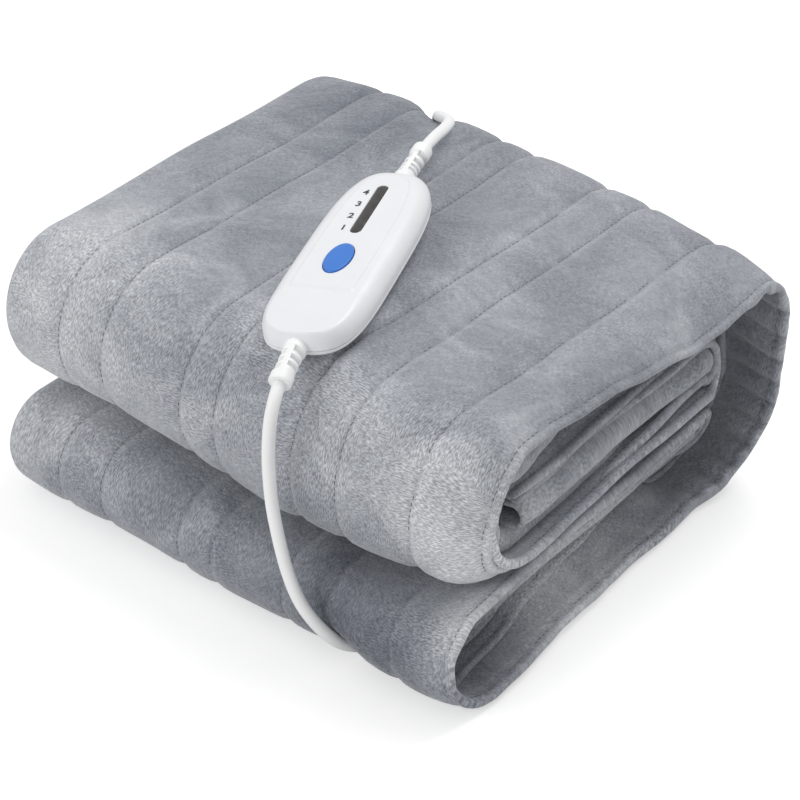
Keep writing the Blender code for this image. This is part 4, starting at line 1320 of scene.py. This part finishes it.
def shell_height(u, inset):
    """Height of the top shell's skin: a rounded side, a soft lip, then the face or the ramp."""
    down = min(max((FACE_LOW_U - u) / (FACE_LOW_U + CONTROLLER_LENGTH / 2), 0), 1)
    width = SHOULDER_WIDTH + (LOW_SHOULDER_WIDTH - SHOULDER_WIDTH) * down
    left = max(1 - inset / width, 0)
    side = WALL_TOP + (FACE_LOW_HEIGHT - LIP_HEIGHT - WALL_TOP) * math.sqrt(1 - left * left)
    side += LIP_HEIGHT * eased(min(max((inset - width) / LIP_WIDTH + 1, 0), 1))
    gap = side - face_height(u)
    return (side + face_height(u) - math.sqrt(gap * gap + CREASE_SOFTNESS**2)) / 2


def close_across(shape, loop):
    """Closes a loop that is symmetric left to right with faces from side to side."""
    quarter, count = len(loop) // 4, len(loop)
    for step in range(-quarter, quarter):
        right, next_right = loop[step % count], loop[(step + 1) % count]
        left, next_left = loop[(count // 2 - step) % count], loop[(count // 2 - step - 1) % count]
        corners = [right, next_right, next_left, left]
        shape.faces.new([c for i, c in enumerate(corners) if c not in corners[:i]])


def close_flat(shape, loop):
    """Closes a flat loop with one face."""
    shape.faces.new(loop)


def ring_loft(rings, close=close_across):
    """A closed form through rings of equally many points."""
    shape = bmesh.new()
    loops = bridge_rings(shape, rings)
    close(shape, loops[0])
    close(shape, loops[-1])
    bmesh.ops.recalc_face_normals(shape, faces=shape.faces)
    return shape


def carve(piece, cutter_shape, place):
    """Takes a cutter's shape out of a piece, for good."""
    cutter = new_object("cutter", new_mesh("cutter", cutter_shape))
    cutter.matrix_world = place
    boolean = piece.modifiers.new("cut", "BOOLEAN")
    boolean.operation = "DIFFERENCE"
    boolean.solver = "EXACT"
    boolean.object = cutter
    bpy.context.view_layer.update()
    solid = piece.evaluated_get(bpy.context.evaluated_depsgraph_get())
    carved = bpy.data.meshes.new_from_object(solid)
    piece.modifiers.clear()
    piece.data = carved
    bpy.data.objects.remove(cutter)


def oval(half_x, half_y):
    turns = [2 * math.pi * i / OVAL_STEPS for i in range(OVAL_STEPS)]
    return [(half_x * math.cos(turn), half_y * math.sin(turn)) for turn in turns]


def stadium(width, length):
    """A slot outline with round ends, long along Y."""
    radius, reach = width / 2, (length - width) / 2
    points = []
    for i in range(OVAL_STEPS):
        angle = 2 * math.pi * i / OVAL_STEPS
        end = reach if math.sin(angle) > 1e-9 else -reach if math.sin(angle) < -1e-9 else 0.0
        points.append((radius * math.cos(angle), end + radius * math.sin(angle)))
    return points


def stacked(outline_at, levels):
    """A form through outlines that shrink by an inset at each height."""
    return ring_loft([[(x, y, height) for x, y in outline_at(inset)] for inset, height in levels])


def on_face(u, v):
    """A frame on the controller's face, with its own Z out of the face."""
    place = Matrix.Translation((v, u, face_height(u)))
    return CONTROLLER_FRAME @ place @ Matrix.Rotation(-FACE_SLOPE, 4, "X")


def move_shape(shape, place):
    bmesh.ops.transform(shape, matrix=place, verts=shape.verts)
    return shape


def rounding(steps):
    """How far in and how far up a quarter round has come at each step, as shares."""
    angles = [math.pi / 2 * step / steps for step in range(steps + 1)]
    return [(1 - math.cos(angle), math.sin(angle)) for angle in angles]


def well_levels(depth):
    """Levels of a cutter for a well: straight walls and a small bevel at the face."""
    return (0.0, -depth), (0.0, -WELL_BEVEL), (-WELL_BEVEL, FACE_SKIN), (-WELL_BEVEL, CUT_ABOVE)


def make_shell(name, shape, material, node):
    shell = add_piece(name, move_shape(shape, CONTROLLER_FRAME), material, replaced=(node,))
    smooth_edges(shell)
    return shell


def make_lower_shell(material):
    """The base: a rounded lower edge and a small bevel at the parting line."""
    height = PARTING_HEIGHT - 2 * PARTING_EDGE
    levels = [(BASE_EDGE * (1 - out), height * up) for up, out in rounding(ROUNDING_STEPS)]
    levels += [
        (0.0, PARTING_HEIGHT - PARTING_EDGE),
        (PARTING_EDGE, PARTING_HEIGHT),
        (PARTING_DEPTH, PARTING_HEIGHT),
    ]
    make_shell("controller_lower_shell", stacked(outline, levels), material, "controller_base")


def make_upper_shell(material):
    """The top, with a rounded side, a face and a ramp, and wells for the button and the window."""
    foot = PARTING_HEIGHT + PARTING_GAP
    levels = ((PARTING_DEPTH, foot), (PARTING_EDGE, foot), (0.0, foot + PARTING_EDGE))
    rings = [[(v, u, height) for v, u in outline(inset)] for inset, height in levels]
    insets = [FACE_INSETS[0] * (step / SIDE_RINGS) ** 2 for step in range(SIDE_RINGS)]
    for inset in (*insets, *FACE_INSETS):
        rings.append([(v, u, shell_height(u, inset)) for v, u in outline(inset)])
    shell = make_shell("controller_upper_shell", ring_loft(rings), material, "controller_top")

    well = (BUTTON_HALF_WIDTH + BUTTON_CLEARANCE, BUTTON_HALF_LENGTH + BUTTON_CLEARANCE)
    cutter = stacked(lambda inset: oval(*(size - inset for size in well)), well_levels(WELL_DEPTH))
    carve(shell, cutter, on_face(BUTTON_U, 0))
    slot = (WINDOW_WIDTH + 2 * WINDOW_CLEARANCE, WINDOW_LENGTH + 2 * WINDOW_CLEARANCE)
    cutter = stacked(
        lambda inset: stadium(*(size - 2 * inset for size in slot)),
        well_levels(WINDOW_DEPTH + WINDOW_BED),
    )
    carve(shell, cutter, on_face(WINDOW_U, WINDOW_V))
    smooth_edges(shell)


def make_button(material):
    """The domed blue push button."""
    shoulder = BUTTON_TOP - BUTTON_CROWN
    levels = [(BUTTON_RIM, BUTTON_FOOT), (0.0, BUTTON_FOOT + BUTTON_RIM)]
    for inwards, up in rounding(ROUNDING_STEPS):
        levels.append((BUTTON_RIM * inwards, BUTTON_WALL_TOP + (shoulder - BUTTON_WALL_TOP) * up))
    for share in BUTTON_CROWN_SHARES:
        inset = BUTTON_RIM + share * (BUTTON_HALF_WIDTH - BUTTON_RIM) * BUTTON_CROWN_REACH
        levels.append((inset, shoulder + BUTTON_CROWN * math.sin(share * math.pi / 2)))
    shape = stacked(
        lambda inset: oval(BUTTON_HALF_WIDTH - inset, BUTTON_HALF_LENGTH - inset * BUTTON_LENGTHWISE),
        levels,
    )
    shape = move_shape(shape, on_face(BUTTON_U, 0))
    button = add_piece(
        "blue_button", shape, material, body="button", replaced=("power_button",)
    )
    smooth_edges(button)


def make_window(material):
    """The smoked window over the level lights, slightly crowned."""
    levels = [(0.0, -WINDOW_DEPTH)]
    for inwards, up in rounding(WINDOW_EDGE_STEPS):
        levels.append((WINDOW_EDGE_INSET * inwards, WINDOW_WALL_TOP + WINDOW_EDGE_RISE * up))
    levels += WINDOW_CROWN
    shape = stacked(lambda inset: stadium(WINDOW_WIDTH - 2 * inset, WINDOW_LENGTH - 2 * inset), levels)
    shape = move_shape(shape, on_face(WINDOW_U, WINDOW_V))
    window = add_piece("smoked_window", shape, material, replaced=("level_window",))
    smooth_edges(window)


def make_level_marks(material):
    """Printed numbers beside the window, one for each level."""
    shape = bmesh.new()
    for text, u in LEVEL_MARKS:
        curve = bpy.data.curves.new("mark", "FONT")
        curve.body = text
        curve.size = MARK_SIZE
        curve.offset = MARK_BOLD
        curve.align_x = "CENTER"
        curve.align_y = "CENTER"
        curve.extrude = MARK_THICKNESS
        curve.resolution_u = 4
        mark = new_object("mark", curve)
        bpy.context.view_layer.update()
        drawn = mark.evaluated_get(bpy.context.evaluated_depsgraph_get())
        mesh = bpy.data.meshes.new_from_object(drawn)
        mesh.transform(on_face(u, MARK_V) @ Matrix.Translation((0, 0, MARK_LIFT)))
        shape.from_mesh(mesh)
        bpy.data.objects.remove(mark)
    add_piece("level_numbers", shape, material)


# ---------------------------------------------------------------- boots, plug and socket

BOOT_SIDES = 48
BOOT_STEP = 0.0004
BOOT_SUNK = 0.002  # how far the controller's boots start inside its shell
SLOT_PITCH = 0.0048
SLOT_WIDTH = 0.0027
SLOT_DEPTH = 0.40  # as a share of the boot's radius at its tip
SLOTS_START = 0.10
SLOTS_END = 0.78
SLOT_HALF_SPAN = math.radians(74)
BOOT_END_DEPTH = 0.0006
BOOT_MOUTH = 0.9  # the radii inside a boot's end, each as a share of the one before
# A boot's profile: share of its length, and radius as a share of the local one.
BOOT_PROFILE = (
    (0.00, 1.00),
    (0.12, 1.00),
    (0.16, 0.94),
    (0.77, 0.90),
    (0.80, 1.02),
    (0.98, 1.02),
    (1.00, 0.96),
)


def slot_cut(run, length, angle, slots):
    """Whether a place on a boot lies in one of its slots, which are staggered left and right."""
    for number in range(slots * 2):
        facing = 0.0 if number % 2 else math.pi
        middle = SLOTS_START * length + (number + 1) * SLOT_PITCH / 2
        off_side = abs((angle - facing + math.pi) % (2 * math.pi) - math.pi)
        if middle < SLOTS_END * length and abs(run - middle) < SLOT_WIDTH / 2 and off_side < SLOT_HALF_SPAN:
            return True
    return False


Boot = namedtuple("Boot", "name route radii node slots sunk after")
# How many slots are along each side, how far inside the shell the boot starts, and the next point
# of the cord beyond it.
BOOTS = (
    Boot(
        "upper_boot", UPPER_BOOT_ROUTE, (0.0058, 0.0054), "strain_relief_upper", 4, BOOT_SUNK, LEAD_ROUTE[1]
    ),
    Boot(
        "lower_boot", LOWER_BOOT_ROUTE, (0.0059, 0.0057), "strain_relief_lower", 4, BOOT_SUNK, MAINS_ROUTE[1]
    ),
    Boot("plug_boot", PLUG_BOOT_ROUTE, (0.0036, 0.0056), "plug_strain_relief", 3, 0.0, None),
    Boot("socket_boot", SOCKET_BOOT_ROUTE, (0.0036, 0.0043), "socket_strain_relief", 0, 0.0, None),
)


def make_boot(boot, material):
    """A tapered strain relief with a collar and staggered slots along both its sides."""
    points = smooth_route(boot.route, BOOT_STEP, after=boot.after)
    heading = np.gradient(points, axis=0)
    heading /= np.linalg.norm(heading, axis=1, keepdims=True)
    side = np.cross(heading, np.array([0.0, 0.0, 1.0]))
    side /= np.linalg.norm(side, axis=1, keepdims=True)
    over = np.cross(side, heading)
    run = travelled(points)
    share = run / run[-1]
    shares, sizes = zip(*BOOT_PROFILE)
    low, high = boot.radii
    radius = np.interp(share, shares, sizes) * (low + (high - low) * share)
    rings = []
    if boot.sunk:
        start = points[0] - heading[0] * boot.sunk
        rings.append(ring_points(start, side[0], over[0], [radius[0]] * BOOT_SIDES))
    for i, centre in enumerate(points):
        reaches = []
        for k in range(BOOT_SIDES):
            cut = slot_cut(run[i], run[-1], 2 * math.pi * k / BOOT_SIDES, boot.slots)
            reaches.append(radius[i] - (SLOT_DEPTH * high if cut else 0))
        rings.append(ring_points(centre, side[i], over[i], reaches))
    for inset, size in ((0.0, BOOT_MOUTH), (BOOT_END_DEPTH, BOOT_MOUTH * BOOT_MOUTH)):
        end = points[-1] - heading[-1] * inset
        rings.append(ring_points(end, side[-1], over[-1], [CORD_RADIUS * size] * BOOT_SIDES))
    piece = add_piece(boot.name, ring_loft(rings), material, replaced=(boot.node,))
    smooth_edges(piece, 45)
    return piece


BOX_STEPS = 48


def rounded_box(half_y, half_z, corner):
    """A rounded rectangle in the YZ plane."""
    points = []
    for i in range(BOX_STEPS):
        angle = 2 * math.pi * (i + 0.5) / BOX_STEPS
        c, s = math.cos(angle), math.sin(angle)
        y = math.copysign(half_y - corner, c) + corner * c
        z = math.copysign(half_z - corner, s) + corner * s
        points.append((y, z))
    return points


PLUG_PLACE = Vector((-0.0077, 0.2125, 0.0095))
SOCKET_PLACE = Vector((-0.1390, 0.13475, 0.0044))
# Sections of the plug's body along X from its boot to its face: half width and half height (mm).
Section = namedtuple("Section", "x half_width half_height corner")
PLUG_SECTIONS = (
    Section(14.0, 5.2, 5.0, 3.4),
    Section(13.6, 6.4, 6.0, 3.6),
    Section(11.0, 7.6, 6.8, 3.8),
    Section(8.0, 9.2, 7.8, 3.8),
    Section(6.4, 9.0, 7.6, 3.8),
    Section(5.6, 9.0, 7.6, 3.8),
    Section(4.8, 10.4, 8.4, 3.8),
    Section(3.2, 10.6, 8.6, 3.8),
    Section(2.4, 10.0, 8.0, 3.8),
    Section(1.6, 10.0, 8.0, 3.8),
    Section(0.8, 11.2, 9.0, 3.8),
    Section(-0.8, 11.3, 9.1, 3.8),
    Section(-1.6, 10.7, 8.6, 3.8),
    Section(-2.4, 10.7, 8.6, 3.8),
    Section(-3.2, 11.8, 9.4, 3.8),
    Section(-11.0, 12.0, 9.5, 3.6),
    Section(-13.2, 12.0, 9.5, 3.6),
    Section(-13.9, 11.3, 8.8, 3.2),
    Section(-14.0, 10.6, 8.1, 3.0),
)
SOCKET_SECTIONS = (
    Section(16.5, 6.0, 3.0, 1.4),
    Section(15.8, 8.6, 3.7, 1.5),
    Section(13.0, 11.6, 4.1, 1.5),
    Section(11.5, 12.4, 4.3, 1.5),
    Section(4.0, 13.2, 4.4, 1.5),
    Section(3.4, 13.2, 4.4, 1.5),
    Section(3.1, 12.8, 4.0, 1.4),
    Section(2.5, 12.8, 4.0, 1.4),
    Section(2.2, 13.2, 4.4, 1.5),
    Section(-15.0, 13.4, 4.4, 1.5),
    Section(-16.1, 13.1, 4.1, 1.5),
    Section(-16.5, 12.4, 3.6, 1.3),
)


def make_body(name, sections, place, material, replaced):
    """A moulded body through rounded sections along X."""
    rings = []
    for x, half_width, half_height, corner in sections:
        box = rounded_box(half_width * MM, half_height * MM, corner * MM)
        rings.append([(place.x + x * MM, place.y + y, place.z + z) for y, z in box])
    shape = ring_loft(rings, close_flat)
    body = add_piece(name, shape, material, replaced=replaced)
    smooth_edges(body, 32)
    return body


BLADE_STEPS = 40
BLADE_SQUARENESS = 0.35
BLADE_HOLE_SHARE = 0.28  # how far from the blade's middle its hole is, as a share of its length
BLADE_HOLE_RADIUS = 0.0015


def blade_outlines(length, height):
    """A blade's rounded outline and its hole, as (x, z) points."""
    outer, hole = [], []
    for i in range(BLADE_STEPS):
        angle = 2 * math.pi * i / BLADE_STEPS
        c, s = math.cos(angle), math.sin(angle)
        x = math.copysign(abs(c) ** BLADE_SQUARENESS, c) * length / 2
        z = math.copysign(abs(s) ** BLADE_SQUARENESS, s) * height / 2
        outer.append((x, z))
        hole.append((-length * BLADE_HOLE_SHARE + BLADE_HOLE_RADIUS * c, BLADE_HOLE_RADIUS * s))
    return outer, hole


def make_blade(number, material):
    """A flat blade with a hole near its rounded tip."""
    low, high = (Vector(corner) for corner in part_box(f"plug_blade_{number}"))
    centre, size = (low + high) / 2, high - low
    outer, hole = blade_outlines(size.x, size.z)
    shape = bmesh.new()
    back_outer, back_hole, front_outer, front_hole = (
        [shape.verts.new(centre + Vector((x, y, z))) for x, z in loop]
        for y in (-size.y / 2, size.y / 2)
        for loop in (outer, hole)
    )
    for first, second in (
        (back_outer, front_outer), (front_hole, back_hole), (back_hole, back_outer), (front_outer, front_hole)
    ):
        for i in range(BLADE_STEPS):
            after = (i + 1) % BLADE_STEPS
            shape.faces.new((first[i], first[after], second[after], second[i]))
    bmesh.ops.recalc_face_normals(shape, faces=shape.faces)
    blade = add_piece(f"blade_{number}", shape, material, replaced=(f"plug_blade_{number}",))
    smooth_edges(blade, 40)
    return blade


# ---------------------------------------------------------------- cords

CORD_STEP = 0.003


def make_cord(name, points, material):
    """A round cord as one smooth curve."""
    curve = bpy.data.curves.new(name, "CURVE")
    curve.dimensions = "3D"
    curve.bevel_depth = CORD_RADIUS
    curve.bevel_resolution = 5
    curve.use_fill_caps = True
    spline = curve.splines.new("POLY")
    spline.points.add(len(points) - 1)
    for spot, point in zip(spline.points, points):
        spot.co = (*point, 1.0)
    curve.materials.append(material)
    cord = new_object(name, curve)
    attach(cord, BODY)
    return cord


def make_cords(material, metal):
    """The lead and the mains cord, each with its boots and from end to end."""
    lead_way = LEAD_ROUTE + tuple(coil_points(LEAD_COIL_X, LEAD_COIL, 0.25, -1)) + SOCKET_BOOT_ROUTE
    mains_way = MAINS_ROUTE + tuple(coil_points(MAINS_COIL_X, MAINS_COIL, 0.0, 1)) + PLUG_BOOT_ROUTE
    lead_points = smooth_route(lead_way, CORD_STEP, before=UPPER_BOOT_ROUTE[-2])
    mains_points = smooth_route(mains_way, CORD_STEP, before=LOWER_BOOT_ROUTE[-2])
    lead = make_cord("lead", lead_points, material)
    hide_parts("cord_lead", "coil_lead")
    mains = make_cord("mains", mains_points, material)
    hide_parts("cord_mains", "coil_mains")
    _, _, plug_boot, socket_boot = (make_boot(boot, material) for boot in BOOTS)
    plug = make_body("plug_body", PLUG_SECTIONS, PLUG_PLACE, material, ("mains_plug",))
    socket = make_body(
        "socket_body", SOCKET_SECTIONS, SOCKET_PLACE, material, ("blanket_socket",)
    )
    blades = [make_blade(number, metal) for number in (1, 2)]
    return lead_points, mains_points


# ---------------------------------------------------------------- floor and lights

FLOOR_REACH = 6.0
FLOOR_TONE = (0.80, 0.80, 0.80, 1)
SEEN_FLOOR_TONE = (0.74, 0.74, 0.74, 1)
SEEN_FLOOR_GLOW = 0.48
ROOM_STRENGTH = 0.58
LIGHT_AIM = Vector((0, 0, 0.06))
Light = namedtuple("Light", "name place size power")
LIGHTS = (
    Light("key_light", (0.15, 0.75, 1.5), (0.9, 0.9), 11.0),
    Light("front_light", (-0.5, -1.5, 0.9), (1.0, 0.8), 8.5),
)


def make_floor():
    """A plain white floor, which keeps its shadows light to the camera."""
    shape = bmesh.new()
    bmesh.ops.create_grid(shape, x_segments=1, y_segments=1, size=FLOOR_REACH)
    floor = new_object("floor", new_mesh("floor", shape))
    material, tree, shader = new_material("floor")
    seen = add(tree, "ShaderNodeBsdfPrincipled")
    for surface, tone in ((shader, FLOOR_TONE), (seen, SEEN_FLOOR_TONE)):
        surface.inputs["Base Color"].default_value = tone
        surface.inputs["Roughness"].default_value = 0.9
        surface.inputs["Specular IOR Level"].default_value = 0.0
    seen.inputs["Emission Color"].default_value = (1, 1, 1, 1)
    seen.inputs["Emission Strength"].default_value = SEEN_FLOOR_GLOW
    rays = add(tree, "ShaderNodeLightPath")
    mix = add(tree, "ShaderNodeMixShader")
    tree.links.new(rays.outputs["Is Camera Ray"], mix.inputs["Fac"])
    tree.links.new(shader.outputs["BSDF"], mix.inputs[1])
    tree.links.new(seen.outputs["BSDF"], mix.inputs[2])
    tree.links.new(mix.outputs["Shader"], tree.nodes["Material Output"].inputs["Surface"])
    floor.data.materials.append(material)


def make_light():
    """Soft studio light: a bright room, a broad light above and one in front."""
    world = bpy.data.worlds.new("studio")
    world.use_nodes = True
    world.node_tree.nodes["Background"].inputs["Color"].default_value = (1, 1, 1, 1)
    world.node_tree.nodes["Background"].inputs["Strength"].default_value = ROOM_STRENGTH
    bpy.context.scene.world = world
    for light in LIGHTS:
        lamp = bpy.data.lights.new(light.name, "AREA")
        lamp.shape = "RECTANGLE"
        lamp.size, lamp.size_y = light.size
        lamp.energy = light.power
        stand = new_object(light.name, lamp)
        stand.location = light.place
        stand.rotation_euler = (Vector(light.place) - LIGHT_AIM).to_track_quat("Z", "Y").to_euler()
    bpy.context.scene.view_settings.view_transform = "Standard"


make_camera()
cord_white = moulded_material("cord_white", (0.95, 0.953, 0.955), 0.45)
cords = make_cords(cord_white, blade_material())
make_floor()
make_light()
make_throw(cords)
shell_white = moulded_material("shell_white", (0.86, 0.868, 0.89), 0.32)
make_lower_shell(shell_white)
make_upper_shell(shell_white)
make_button(button_material())
make_window(window_material())
make_level_marks(print_material())
